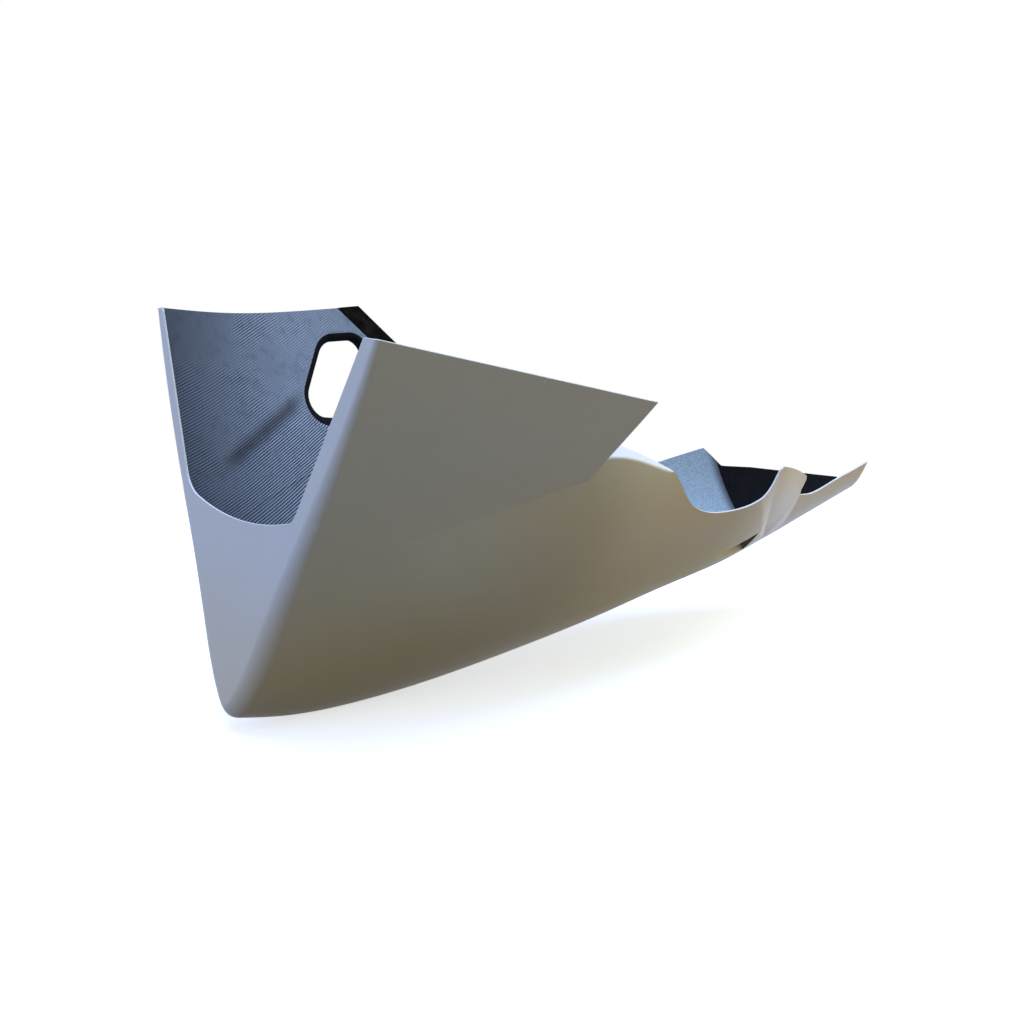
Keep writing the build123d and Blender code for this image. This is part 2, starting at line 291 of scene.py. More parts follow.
@dataclass
class Hull:
    """The hull's outer form, from the keel to the shoulder."""

    body: tuple[Station, ...] = (
        Station(0, -3, 100, 155, 0.47, 86, 30),
        Station(60, -14, 117, 175, 0.42, 92, 34),
        Station(130, -17, 134, 190, 0.30, 95, 42),
        Station(210, -11, 152, 210, 0.14, 100, 60),
        Station(290, 1, 167, 224, 0.03, 105, 76),
        Station(386, 18, 154, 197, 0.08, 92, 82),
        Station(480, 34, 145, 190, 0.10, 80, 76),
        Station(570, 46.5, 131, 184, 0.12, 70, 66),
        Station(630, 55, 103, 176, 0.16, 62, 50),
        Station(690, 63.5, 67, 162, 0.22, 50, 30),
    )
    tail: tuple[Station, ...] = (
        Station(690, 63.5, 67, 162, 0.22, 50, 30),
        Station(770, 85, 51, 160, 0.24, 40, 22),
        Station(870, 113.5, 33, 155, 0.26, 26, 14),
    )
    fold_softness: float = 5.0
    black_lean: float = 0.18
    black_foot: float = 70.0
    relief_from: float = 300.0
    roof_slope: float = 0.5
    ridge_height: float = -4.0
    ridge_softness: float = 0.10
    ridge_foot_run: float = 20.0
    crest_band: float = 1.6
    ridge_heights: tuple[float, ...] = (74.0, 84.0, 98.0, 118.0, 141.0, 178.0)
    ridge_front: tuple[float, ...] = (632.0, 618.0, 596.0, 571.0, 546.0, 540.0)
    ridge_crest: tuple[float, ...] = (650.0, 636.0, 615.0, 591.0, 574.5, 567.5)
    ridge_back: tuple[float, ...] = (654.0, 648.0, 657.0, 671.0, 690.0, 696.0)

    def __post_init__(self) -> None:
        """Fits the curves through the stations."""
        self._body = Spline([s.at for s in self.body], [s.row() for s in self.body])
        self._tail = Spline([s.at for s in self.tail], [s.row() for s in self.tail])
        self.fold_at = self.tail[0].at

    def sizes(self, at: Array) -> Array:
        """The section's sizes, one column each, at the given places."""
        share = np.clip((at - self.fold_at) / (2 * self.fold_softness) + 0.5, 0, 1)[:, None]
        share = share * share * (3 - 2 * share)
        return (self._body(at) * (1 - share) + self._tail(at) * share).T

    def section(self, at: Array, t: Array) -> tuple[Array, Array]:
        """Half-width and height of the wall at share t of its curve."""
        keel, wide, high, lean, wall, floor = self.sizes(at)
        u = 1 - t
        y = 3 * t * u * u * floor + 3 * t * t * u * (wide - lean * wall) + t ** 3 * wide
        z = (u ** 3 + 3 * t * u * u) * keel + 3 * t * t * u * (high - wall) + t ** 3 * high
        return y, z

    def relief(self, at: Array, z: Array) -> Array:
        """How far the wall stands out along the ridge ahead of the fold."""
        front, crest, back = (np.interp(z, self.ridge_heights, places)
                              for places in (self.ridge_front, self.ridge_crest, self.ridge_back))
        rise, fall = (at - front) / (crest - front), (back - at) / (back - crest)
        lower = (rise + fall - np.sqrt((rise - fall) ** 2 + self.ridge_softness ** 2)) / 2
        foot = np.clip((z - self.ridge_heights[0]) / self.ridge_foot_run, 0, 1)
        return self.ridge_height * foot * np.clip(lower, 0, 1)

    def black_from(self, z: Array) -> Array:
        """Place at which the near-black of the inner skin starts, at a height."""
        return self.fold_at - self.black_lean * (z - self.black_foot)

    def seams(self, scale: float) -> list[Array]:
        """Lines over (place, scaled share) along the ridge and the border of the near-black."""
        z = np.linspace(self.ridge_heights[0] + 4, self.ridge_heights[-1], 44)
        crest = np.interp(z, self.ridge_heights, self.ridge_crest)
        lines = [np.column_stack([place, scale * self.share_at(place, z)])
                 for place in (crest - self.crest_band, crest, crest + self.crest_band)]
        shares = np.linspace(0, 1, 60)
        place = np.full_like(shares, self.fold_at)
        for _ in range(6):
            place = self.black_from(self.section(place, shares)[1])
        return [*lines, np.column_stack([place, scale * shares])]

    def share_at(self, at: Array, z: Array) -> Array:
        """Share t of the wall's curve at a height."""
        low, high = np.zeros_like(z), np.full_like(z, 1.35)
        for _ in range(34):
            middle = (low + high) / 2
            above = self.section(at, middle)[1] > z
            high, low = np.where(above, middle, high), np.where(above, low, middle)
        return (low + high) / 2

    def shoulder(self, at: Array) -> tuple[Array, Array]:
        """Half-width and height of the shoulder."""
        sizes = self.sizes(at)
        return sizes[1], sizes[2]


@dataclass
class Wing:
    """The wings' outer faces: a parabola in section, with a straight flare."""

    spread: float = 0.735
    curve: float = 0.00050
    flare: float = 0.127

    def half_width(self, at: Array, z: Array) -> Array:
        """Half-width across the outer faces."""
        return self.spread * z - self.curve * z * z + self.flare * at


@dataclass
class Skin:
    """The outer skin: hull and wings, run into each other along a soft line."""

    hull: Hull = field(default_factory=Hull)
    wing: Wing = field(default_factory=Wing)
    wing_root: tuple[float, float] = (291.5, 205.5)
    softness: tuple[tuple[float, float], ...] = (
        (0, 9), (60, 7.5), (130, 5), (200, 2.6), (265, 1.2), (900, 1.2))
    softness_foot: tuple[float, float] = (50.0, 90.0)
    share_scale: float = 260.0

    def __post_init__(self) -> None:
        """Finds the line along which hull and wing meet."""
        at = np.linspace(-2, 285, 80)
        share = np.linspace(0.6, 1.3, 400)
        met = []
        for place in at:
            y, z = self.hull.section(np.full_like(share, place), share)
            proud = y - self.wing.half_width(place, z)
            last = np.nonzero(proud >= 0)[0].max()
            last = min(last, len(share) - 2)
            part = proud[last] / (proud[last] - proud[last + 1])
            met.append(z[last] + (z[last + 1] - z[last]) * part)
        self._meeting = Spline(at, np.array(met))

    def meeting(self, at: Array) -> Array:
        """Height at which hull and wing meet."""
        return self._meeting(at)[:, 0]

    def bulge(self, at: Array, z: Array, apart: Array) -> Array:
        """How far the soft line stands out where the two forms are that far apart."""
        stops = np.array(self.softness, float)
        soft = np.interp(at, stops[:, 0], stops[:, 1])
        low, high = self.softness_foot
        share = np.clip((z - low) / (high - low), 0, 1)
        return share * np.maximum(soft - np.abs(apart), 0) ** 2 / (4 * soft)

    def hull_section(self, at: Array, t: Array) -> tuple[Array, Array]:
        """Half-width and height on the hull's skin."""
        y, z = self.hull.section(at, t)
        out = self.bulge(at, z, y - self.wing.half_width(at, z))
        return y + np.where(at < self.hull.relief_from, out, self.hull.relief(at, z)), z

    def wing_half_width(self, at: Array, z: Array) -> Array:
        """Half-width on the wing's skin."""
        y = self.wing.half_width(at, z)
        low = np.minimum(z, self.hull.shoulder(at)[1] + 30)
        beneath = self.hull.section(at, self.hull.share_at(at, low))[0] - (z - low)
        return y + self.bulge(at, z, y - beneath)

    def hull_surface(self, side: Side) -> Surface:
        """The hull's skin on one side, over place and scaled share."""
        def surface(at: Array, b: Array) -> Array:
            y, z = self.hull_section(at, b / self.share_scale)
            return np.column_stack([at + RAKE * z, side.value * y, z])
        return surface

    def wing_surface(self, side: Side) -> Surface:
        """The wing's skin on one side, over place and height."""
        def surface(at: Array, z: Array) -> Array:
            return np.column_stack([at + RAKE * z, side.value * self.wing_half_width(at, z), z])
        return surface

    def roof_surface(self, side: Side) -> Surface:
        """The ledge's plane on one side, over place and half-width."""
        def surface(at: Array, y: Array) -> Array:
            wide, high = self.hull.shoulder(at)
            z = high + self.hull.roof_slope * (wide - y)
            return np.column_stack([at + RAKE * z, side.value * y, z])
        return surface

    def on_hull(self, outline: Array) -> Array:
        """Hull coordinates of points given in side view."""
        at = outline[:, 0] - RAKE * outline[:, 1]
        return np.column_stack([at, self.share_scale * self.hull.share_at(at, outline[:, 1])])

    def cloth_run(self, at: Array, t: Array) -> Array:
        """Distance round the section from the keel to share t."""
        steps = np.linspace(0, 1, 25)[:, None] * t[None]
        flat = self.hull.section(np.broadcast_to(at, steps.shape).ravel(), steps.ravel())
        y, z = (part.reshape(steps.shape) for part in flat)
        return np.hypot(np.diff(y, axis=0), np.diff(z, axis=0)).sum(0)


# The shell's mesh.


@dataclass
class Shell:
    """Collects the sheets of the laminate and makes one mesh of them."""

    points: list[Array] = field(default_factory=list)
    faces: list[Array] = field(default_factory=list)
    normals: list[Array] = field(default_factory=list)
    cloth: list[Array] = field(default_factory=list)
    finishes: list[Array] = field(default_factory=list)
    layers: list[Array] = field(default_factory=list)
    layer_gap: float = 10.0
    count: int = 0
    edge_crown: float = 0.35
    step: float = 0.02

    def append(self, points: Array, faces: Array, normals: Array, cloth: Array,
               finish: "Finish | Array", layer: Layer) -> None:
        """Adds faces, turned so that they look the way their normals do."""
        corner = points[faces]
        face_normal = np.cross(corner[:, 1] - corner[:, 0], corner[:, 2] - corner[:, 0])
        away = np.einsum("ij,ij->i", face_normal, normals[faces].sum(1)) < 0
        faces = faces.copy()
        faces[away] = faces[away][:, ::-1]
        self.points.append(points)
        self.faces.append(faces + self.count)
        self.normals.append(normals[faces].reshape(-1, 3))
        self.cloth.append(cloth[faces].reshape(-1, 2))
        values = finish.value if isinstance(finish, Finish) else finish
        self.finishes.append(np.broadcast_to(values, len(faces)))
        self.layers.append(np.full(len(points), layer.value))
        self.count += len(points)

    def skin_normals(self, surface: Surface, flat: Array, away: Array) -> Array:
        """Unit normals of a surface, on the side that `away` points to."""
        a, b = flat.T
        e = self.step
        normal = np.cross(surface(a + e, b) - surface(a - e, b), surface(a, b + e) - surface(a, b - e))
        normal /= np.linalg.norm(normal, axis=1)[:, None] + 1e-12
        return normal * np.where(np.einsum("ij,ij->i", normal, away) < 0, -1, 1)[:, None]

    def add(self, surface: Surface, flat: Array, triangles: Array, away: Callable[[Array], Array],
            free: Sequence[tuple[int, int]] = (), cloth: Optional[Array] = None,
            outer: Finish = Finish.GELCOAT, inner: "Finish | Array" = Finish.CLOTH) -> tuple[Array, Array]:
        """Adds one sheet with its thickness.

        Args:
            surface: the sheet's outer skin over its flat coordinates.
            flat: flat coordinates of its points.
            triangles: triangles between them.
            away: from points on the skin, rough directions out of the shell.
            free: pairs of points along its cut edges, which get a rim.
            cloth: where each point lies on the cloth, in mm.
            outer: finish of the outer skin.
            inner: finish of the inner skin, or one a triangle.

        Returns:
            The outer and the inner points.
        """
        outside = surface(*flat.T)
        normal = self.skin_normals(surface, flat, away(outside))
        within = outside - normal * LAMINATE
        cloth = outside[:, [0, 2]] if cloth is None else cloth
        self.append(outside, triangles, normal, cloth, outer, Layer.OUTER)
        self.append(within, triangles, -normal, cloth, inner, Layer.INNER)
        if len(free):
            self._rim(outside, within, normal, triangles, np.array(free), cloth)
        return outside, within

    def _rim(self, outside: Array, within: Array, normal: Array, triangles: Array, free: Array,
             cloth: Array) -> None:
        """Adds the crowned rim along cut edges."""
        third = {}
        for a, b, c in triangles:
            third[frozenset((a, b))], third[frozenset((b, c))], third[frozenset((a, c))] = c, a, b
        out = np.zeros_like(outside)
        kept = []
        for a, b in free:
            opposite = third.get(frozenset((a, b)))
            if opposite is None:
                continue
            along = outside[b] - outside[a]
            aside = np.cross(along, normal[a] + normal[b])
            aside /= np.linalg.norm(aside) + 1e-12
            aside *= 1 if aside @ (outside[a] - outside[opposite]) > 0 else -1
            out[a] += aside
            out[b] += aside
            kept.append((a, b))
        used = np.unique(np.array(kept))
        place = {vertex: i for i, vertex in enumerate(used)}
        edge = out[used] / (np.linalg.norm(out[used], axis=1)[:, None] + 1e-12)
        top, low, look = outside[used], within[used], normal[used]
        middle = (top + low) / 2 + edge * self.edge_crown
        n = len(used)
        points = np.vstack([top, middle, low])
        normals = np.vstack([(look + 1.6 * edge), edge, (edge * 1.6 - look)])
        normals /= np.linalg.norm(normals, axis=1)[:, None] + 1e-12
        faces = []
        for a, b in kept:
            i, j = place[a], place[b]
            for row in (0, n):
                faces += [(row + i, row + j, row + n + j), (row + i, row + n + j, row + n + i)]
        run = np.tile(cloth[used], (3, 1))
        self.append(points, np.array(faces), normals, run, Finish.CUT_EDGE, Layer.EDGE)

    def add_grid(self, surface: Surface, a: Array, b: Array, away: Callable[[Array], Array],
                 free_sides: str = "", cloth: Optional[Array] = None, closed: bool = False,
                 outer: Finish = Finish.GELCOAT, inner: Finish = Finish.CLOTH) -> None:
        """Adds a sheet over a grid of flat coordinates.

        Args:
            surface: the sheet's outer skin.
            a: first coordinate, rows by columns.
            b: second coordinate, rows by columns.
            away: rough directions out of the shell.
            free_sides: which sides are cut edges, out of "t"op row, "b"ottom row, "l"eft and "r"ight column.
            cloth: where each point lies on the cloth.
            closed: whether the last column joins the first.
            outer: finish of the outer skin.
            inner: finish of the inner skin.
        """
        rows, columns = a.shape
        index = np.arange(rows * columns).reshape(rows, columns)
        wide = np.column_stack([index, index[:, :1]]) if closed else index
        q = [part.ravel() for part in (wide[:-1, :-1], wide[:-1, 1:], wide[1:, 1:], wide[1:, :-1])]
        triangles = np.vstack([np.column_stack([q[0], q[1], q[2]]), np.column_stack([q[0], q[2], q[3]])])
        lines = {"t": wide[-1], "b": wide[0], "l": index[:, 0], "r": index[:, -1]}
        free = [pair for side in free_sides for pair in zip(lines[side][:-1], lines[side][1:])]
        self.add(surface, np.column_stack([a.ravel(), b.ravel()]), triangles, away, free, cloth, outer, inner)

    def mesh(self, name: str, weld: float) -> bpy.types.Object:
        """Makes the object.

        Args:
            name: its name.
            weld: points nearer than this, in mm, become one.

        Returns:
            The object, in the row frame.
        """
        points = (np.vstack(self.points) - JOINT_FROM_NOSE) / 1000
        faces, normals = np.vstack(self.faces), np.vstack(self.normals)
        cloth, finishes = np.vstack(self.cloth), np.concatenate(self.finishes)
        spots = points + np.outer(np.concatenate(self.layers), (0, 0, self.layer_gap))
        tree = KDTree(len(spots))
        for i, spot in enumerate(spots):
            tree.insert(spot, i)
        tree.balance()
        first = np.arange(len(spots))
        for i, spot in enumerate(spots):
            if first[i] == i:
                for _, j, _ in tree.find_range(spot, weld / 1000):
                    first[j] = min(first[j], i)
        used, renumbered = np.unique(first, return_inverse=True)
        faces = renumbered[faces]
        whole = (faces[:, 0] != faces[:, 1]) & (faces[:, 1] != faces[:, 2]) & (faces[:, 0] != faces[:, 2])
        corners = np.repeat(whole, 3)
        mesh = bpy.data.meshes.new(name)
        mesh.from_pydata(points[used].tolist(), [], faces[whole].tolist())
        mesh.polygons.foreach_set("material_index", finishes[whole])
        mesh.polygons.foreach_set("use_smooth", np.ones(whole.sum(), bool))
        layer = mesh.uv_layers.new(name="cloth")
        layer.data.foreach_set("uv", (cloth[corners] / 1000).ravel())
        mesh.normals_split_custom_set(normals[corners].tolist())
        shell = bpy.data.objects.new(name, mesh)
        bpy.context.scene.collection.objects.link(shell)
        return shell


def from_axis(points: Array) -> Array:
    """Directions out of the shell from a line inside it."""
    return points * (0, 1, 1) + (-30, 0, -200)


def rearward(points: Array) -> Array:
    """Straight back."""
    return np.tile([1.0, 0.0, 0.0], (len(points), 1))


def upward(points: Array) -> Array:
    """Straight up."""
    return np.tile([0.0, 0.0, 1.0], (len(points), 1))


# The sub-assemblies.


@dataclass
class Nose:
    """The raked front face with its wheel cut-out, and the rounding round it."""

    skin: Skin
    rounding: tuple[tuple[float, float], ...] = ((0, 13), (0.3, 16), (0.7, 16), (1, 14), (1.5, 9), (2, 4.5))
    rows: int = 9
    hull_columns: int = 70
    wing_columns: int = 48
    opening_bottom: float = 176.5
    opening_corner_height: float = 190.0
    opening_left_corner: float = 93.5
    opening_right_corner: float = 99.6
    opening_side_slope: float = 0.52
    opening_left_radius: float = 22.0
    opening_right_radius: float = 38.0
    top: float = 350.2
    spacing: float = 5.0

    def places(self) -> Array:
        """Places round the section: 0 to 1 on the hull, 1 to 2 on the wing."""
        return np.r_[np.linspace(0, 1, self.hull_columns), np.linspace(1, 2, self.wing_columns)[1:]]

    def radius(self, v: Array) -> Array:
        """Radius of the rounding at those places."""
        stops = np.array(self.rounding, float)
        return np.interp(v, stops[:, 0], stops[:, 1])

    def profile(self, at: Array, v: Array, inset: Array, side: Side) -> tuple[Array, Array]:
        """Half-width and height on the skin's section, before the inset."""
        meet = self.skin.meeting(at)
        t = np.minimum(v, 1) * self.skin.hull.share_at(at, meet)
        y, z = self.skin.hull_section(at, t)
        top = wing_of(side).top_height(at) - 0.36 * inset
        high = meet + np.maximum(v - 1, 0) * (top - meet)
        wing_y = self.skin.wing_half_width(at, high)
        return np.where(v <= 1, y, wing_y), np.where(v <= 1, z, high)

    def rolled(self, side: Side) -> Surface:
        """The rounding's skin over angle share (0 on the face, 90 on the side) and place times 90."""
        def surface(angle: Array, b: Array) -> Array:
            v = b / 90
            radius = self.radius(v)
            turn = np.radians(angle)
            at = radius * (1 - np.cos(turn))
            inset = radius * (1 - np.sin(turn))
            y, z = self.profile(at, v, inset, side)
            e = 2e-3
            low, high = self.profile(at, v - e, inset, side), self.profile(at, v + e, inset, side)
            dy, dz = high[0] - low[0], high[1] - low[1]
            dy, dz = np.where(v < 1e-6, 1, dy), np.where(v < 1e-6, 0, dz)
            long = np.hypot(dy, dz)
            y, z = y - inset * dz / long, z + inset * dy / long
            return np.column_stack([at + RAKE * z, side.value * y, z])
        return surface

    def opening(self) -> Array:
        """The wheel cut-out's edge over (y, z), from the left top round its foot to the right top."""
        corners = [np.array([y, self.opening_corner_height])
                   for y in (-self.opening_left_corner, self.opening_right_corner)]
        centre, radius = circle_through([*corners, np.array([0.0, self.opening_bottom])])
        rise = self.top - self.opening_corner_height
        sides = []
        radii = (self.opening_left_radius, self.opening_right_radius)
        for corner, lean, small in zip(corners, (-1, 1), radii):
            up = np.array([lean * self.opening_side_slope, 1.0])
            top = corner + up * rise
            up /= np.linalg.norm(up)
            inward = np.array([-lean * up[1], lean * up[0]])
            start = corner + inward * small - centre
            half = start @ up
            along = -half - math.sqrt(half ** 2 - start @ start + (radius - small) ** 2)
            middle = centre + start + up * along
            meet = centre + (middle - centre) * radius / np.linalg.norm(middle - centre)
            touch = corner + up * along
            sides.append((chain([top, touch], 3)[:-1], arc(middle, touch, meet, 2), meet))
        (left, left_arc, left_meet), (right, right_arc, right_meet) = sides
        foot = arc(centre, left_meet, right_meet, 4)[1:-1]
        return np.vstack([left, left_arc, foot, right_arc[::-1], right[::-1]])

    def build(self, shell: Shell) -> None:
        """Adds the rounding on both sides and the flat face."""
        v = self.places()
        turns = np.linspace(0, 90, self.rows)
        rims = {}
        for side in Side:
            rolled = self.rolled(side)
            a = np.repeat(turns[:, None], len(v), 1)
            b = np.repeat(90 * v[None], len(turns), 0)
            shell.add_grid(rolled, a, b, from_axis, free_sides="r")
            rims[side] = rolled(np.zeros(len(v)), 90 * v)[:, 1:]
        opening = self.opening()
        rim = np.vstack([rims[Side.LEFT][::-1], rims[Side.RIGHT][1:]])
        left = chain([opening[0], rim[0]], 4)[1:-1]
        right = chain([rim[-1], opening[-1]], 4)[1:-1]
        loop = np.vstack([rim, right, opening[::-1], left])
        points, triangles = fill([loop], self.spacing)
        first = len(rim) - 1
        free = [(i, (i + 1) % len(loop)) for i in range(first, len(loop))]

        def face(y: Array, z: Array) -> Array:
            return np.column_stack([RAKE * z, y, z])

        shell.add(face, points, triangles, lambda p: -rearward(p), free)
        log.info("nose: %d triangles on the face", len(triangles))


@dataclass
class WingPanel:
    """One wing: its panel from the soft line to its cut edges."""

    skin: Skin
    side: Side
    crown: tuple[tuple[float, float], ...]
    tip: tuple[float, float]
    fold: float = 0.0
    spacing: float = 4.5

    def __post_init__(self) -> None:
        """Fits the upper edge over the place behind the face."""
        line = chain(self.crown, 2.0)
        self.edge = np.column_stack([line[:, 0] - RAKE * line[:, 1], line[:, 1]])

    def top_height(self, at: Array) -> Array:
        """Height of the upper edge at a place behind the face."""
        slope = (self.edge[3, 1] - self.edge[0, 1]) / (self.edge[3, 0] - self.edge[0, 0])
        ahead = self.edge[0, 1] + slope * (at - self.edge[0, 0])
        return np.where(at < self.edge[0, 0], ahead, np.interp(at, self.edge[:, 0], self.edge[:, 1]))

    def back_edge(self, z: Array) -> Array:
        """Side-view x of the trailing edge's line at a height."""
        root_x, root_z = self.skin.wing_root
        return root_x + (self.tip[0] - root_x) / (self.tip[1] - root_z) * (z - root_z)

    def root_at(self) -> float:
        """Place at which the soft line meets the trailing edge."""
        at = np.linspace(240, 285, 400)
        z = self.skin.meeting(at)
        gap = at + RAKE * z - self.back_edge(z)
        return float(np.interp(0, gap, at))

    def meeting_line(self, nose: Nose) -> Array:
        """The soft line over (place, height), from the root to the rounding."""
        radius = float(nose.radius(np.array([1.0]))[0])
        at = np.linspace(self.root_at(), radius, 62)
        return np.column_stack([at, self.skin.meeting(at)])

    def build(self, shell: Shell, nose: Nose, holes: Sequence[Array] = ()) -> None:
        """Adds the panel.

        Args:
            shell: the shell that it joins.
            nose: the rounding at its front.
            holes: outlines over (place, height) of what is cut out.
        """
        line = self.meeting_line(nose)
        v = nose.places()
        v = v[v >= 1]
        at = nose.radius(v)
        _, z = nose.profile(at, v, np.zeros_like(v), self.side)
        front = np.column_stack([at, z])
        top = self.edge[self.edge[:, 0] > at[-1] + 1.5]
        tip = np.array([self.tip[0] - RAKE * self.tip[1], self.tip[1]])
        root = line[0]
        if self.fold:
            crown_end, root_xz = np.array(self.crown[-1]), np.array([root[0] + RAKE * root[1], root[1]])
            ahead, below = self.crown[-2] - crown_end, root_xz - self.tip
            start = crown_end + ahead * self.fold / np.linalg.norm(ahead)
            end = np.array(self.tip) + below * self.fold / np.linalg.norm(below)
            cut = chain([start, end], 3)
            cut = np.column_stack([cut[:, 0] - RAKE * cut[:, 1], cut[:, 1]])
            top = top[top[:, 0] < cut[0, 0] - 1]
            back = chain([cut[-1], root], 3)[1:-1]
            self.fold_line = cut
            parts = [front, top, cut, back, line[:-1]]
            free = [False, True, False, True, False]
        else:
            top = top[top[:, 0] < tip[0] - 1]
            back = chain([tip, root], 3)[:-1]
            parts = [front, top, back, line[:-1]]
            free = [False, True, True, False]
        loop = np.vstack(parts)
        tags = np.concatenate([np.full(len(p), f) for p, f in zip(parts, free)])
        n = len(loop)
        pairs = [(i, (i + 1) % n) for i in range(n) if tags[i] or (tags[(i + 1) % n])]
        points, triangles = fill([loop, *holes], self.spacing)
        a, z = points.T
        meet = self.skin.meeting(a)
        slope = self.skin.wing.spread - 2 * self.skin.wing.curve * (z + meet) / 2
        run = self.skin.cloth_run(a, self.skin.hull.share_at(a, meet)) + (z - meet) * np.hypot(1, slope)
        shell.add(self.skin.wing_surface(self.side), points, triangles, from_axis, pairs,
                  np.column_stack([a, run]))
        log.info("%s wing: %d triangles", self.side.name.lower(), len(triangles))


SKINS = {
    Side.LEFT: Skin(),
    Side.RIGHT: Skin(softness=(
        (0, 9), (20, 8.5), (60, 12), (90, 15), (170, 15), (235, 6), (265, 1.2), (900, 1.2))),
}
WINGS = {
    Side.LEFT: WingPanel(SKINS[Side.LEFT], Side.LEFT, ((45.5, 350.2), (338.5, 276.4)), (338.5, 276.4)),
    Side.RIGHT: WingPanel(SKINS[Side.RIGHT], Side.RIGHT,
                          ((45.5, 350.2), (120.0, 340.6), (205.0, 337.2), (266.0, 337.3)),
                          (334.8, 268.5), fold=3.5),
}


def wing_of(side: Side) -> WingPanel:
    """The wing on that side."""
    return WINGS[side]


@dataclass
class HullSide:
    """One side of the hull, its ledge, and the web that closes the step at the wing's root."""

    skin: Skin
    side: Side
    edges: tuple[tuple[bool, tuple[tuple[float, float], ...]], ...]
    tail_end: tuple[float, float] = (851.0, 118.8)
    tail_end_slope: float = 0.206
    tail_end_skew: float = 0.24
    tail_from: float = 825.0
    ledge_edge: tuple[tuple[float, float], ...] = (
        (200.0, 148.0), (392.0, 148.0), (405.0, 150.5), (411.0, 158.0))
    shoulder_rounding: float = 2.6
    spacing: float = 5.0

    def free_edge(self) -> Array:
        """The cut edge in side view, from the ledge's end to the tail's end."""
        parts = []
        last: Optional[Array] = None
        for smooth, points in self.edges:
            points = [*([last] if last is not None else []), *points]
            run = chain(points, 2.4, smooth)
            parts.append(run if last is None else run[1:])
            last = run[-1]
        line = np.vstack(parts)
        x, z = line.T
        at = x - RAKE * z
        y = self.skin.hull.section(at, self.skin.hull.share_at(at, z))[0]
        past = x - self._end_x(y, z)
        stop = int(np.nonzero(past > 0)[0][0])
        share = past[stop - 1] / (past[stop - 1] - past[stop])
        return np.vstack([line[:stop], line[stop - 1] + (line[stop] - line[stop - 1]) * share])

    def _end_x(self, y: Array, z: Array) -> Array:
        """Side-view x of the tail's rear end at a half-width and height."""
        x, height = self.tail_end
        return x + self.tail_end_slope * (z - height) + self.tail_end_skew * self.side.value * y

    def ledge_inner(self, at: Array) -> Array:
        """Half-width of the ledge's inner edge at places behind the face."""
        stops = np.array(self.ledge_edge)
        y = np.full_like(at, stops[0, 1])
        for _ in range(6):
            x = self.skin.roof_surface(self.side)(at, y)[:, 0]
            y = np.interp(x, stops[:, 0], stops[:, 1])
        return y

    def shoulder_run(self) -> tuple[float, float]:
        """Places at which the shoulder starts behind the wing and ends at the cut edge."""
        at = np.linspace(250, 400, 600)
        wide, high = self.skin.hull.shoulder(at)
        ahead = at + RAKE * high - wing_of(self.side).back_edge(high)
        width = wide - self.ledge_inner(at)
        start = float(np.interp(0, ahead, at))
        end = float(at[(at > 330) & (width > 0.6)].max())
        return start, end

    def build(self, shell: Shell, nose: Nose, pocket: Optional["Pocket"] = None) -> None:
        """Adds the side.

        Args:
            shell: the shell that it joins.
            nose: the rounding at its front.
            pocket: the pocket that is sunk in it.
        """
        skin, scale = self.skin, self.skin.share_scale
        panel = wing_of(self.side)
        start, end = self.shoulder_run()
        at = np.linspace(end, start, 44)
        wide, high = skin.hull.shoulder(at)
        width = wide - self.ledge_inner(at)
        rounding = np.minimum(self.shoulder_rounding, 0.45 * width)
        shoulder = np.column_stack([at, scale * skin.hull.share_at(at, high - rounding)])
        edge = self.free_edge()
        joint = np.array([[end + RAKE * float(high[0]), float(high[0] - rounding[0])]])
        edge = edge[edge[:, 0] > joint[0, 0] + 2]
        free = skin.on_hull(np.vstack([joint, edge]))[::-1]
        v = nose.places()
        v = v[v <= 1]
        front_at = nose.radius(v)
        front_share = v * skin.hull.share_at(front_at, skin.meeting(front_at))
        front = np.column_stack([front_at, scale * front_share])[::-1]
        tail_z = edge[-1, 1]
        keel_end = self._tail_place(np.zeros(1))[0]
        top_share = float(free[0, 1]) / scale
        shares = np.linspace(0, top_share, 26)
        tail = np.column_stack([self._tail_place(shares), scale * shares])
        keel = np.column_stack([np.linspace(front[-1, 0], keel_end, 170), np.zeros(170)])
        line = panel.meeting_line(nose)
        soft = np.column_stack([line[:, 0], scale * skin.hull.share_at(line[:, 0], line[:, 1])])
        down_z = np.linspace(float(high[-1] - rounding[-1]), line[0, 1], 6)
        down_at = panel.back_edge(down_z) - RAKE * down_z
        step = np.column_stack([down_at, scale * skin.hull.share_at(down_at, down_z)])
        shoulder[-1] = step[0]
        parts = [keel[:-1], tail[:-1], free[:-1], shoulder[:-1], step[:-1], soft[:-1], front[:-1]]
        loop = np.vstack(parts)
        ends = np.cumsum([len(p) for p in parts])
        pairs = [(i, i + 1) for i in range(ends[0], ends[2])]
        holes = [pocket.outline_on_hull()] if pocket else []
        seams = [clear_run(line, [loop, *holes], 2.2) for line in skin.hull.seams(scale)]
        points, triangles = fill([loop, *holes], self.spacing, seams)
        run = skin.cloth_run(points[:, 0], points[:, 1] / scale)
        middle = points[triangles].mean(1)
        behind = middle[:, 0] > skin.hull.black_from(skin.hull.section(middle[:, 0], middle[:, 1] / scale)[1])
        shell.add(skin.hull_surface(self.side), points, triangles, from_axis, pairs,
                  np.column_stack([points[:, 0], run]),
                  inner=np.where(behind, Finish.NEAR_BLACK.value, Finish.CLOTH.value))
        self._add_ledge(shell, at, wide, width, rounding)
        self._add_web(shell, float(start))
        log.info("%s hull: %d triangles, edge ends at %.1f", self.side.name.lower(), len(triangles), tail_z)

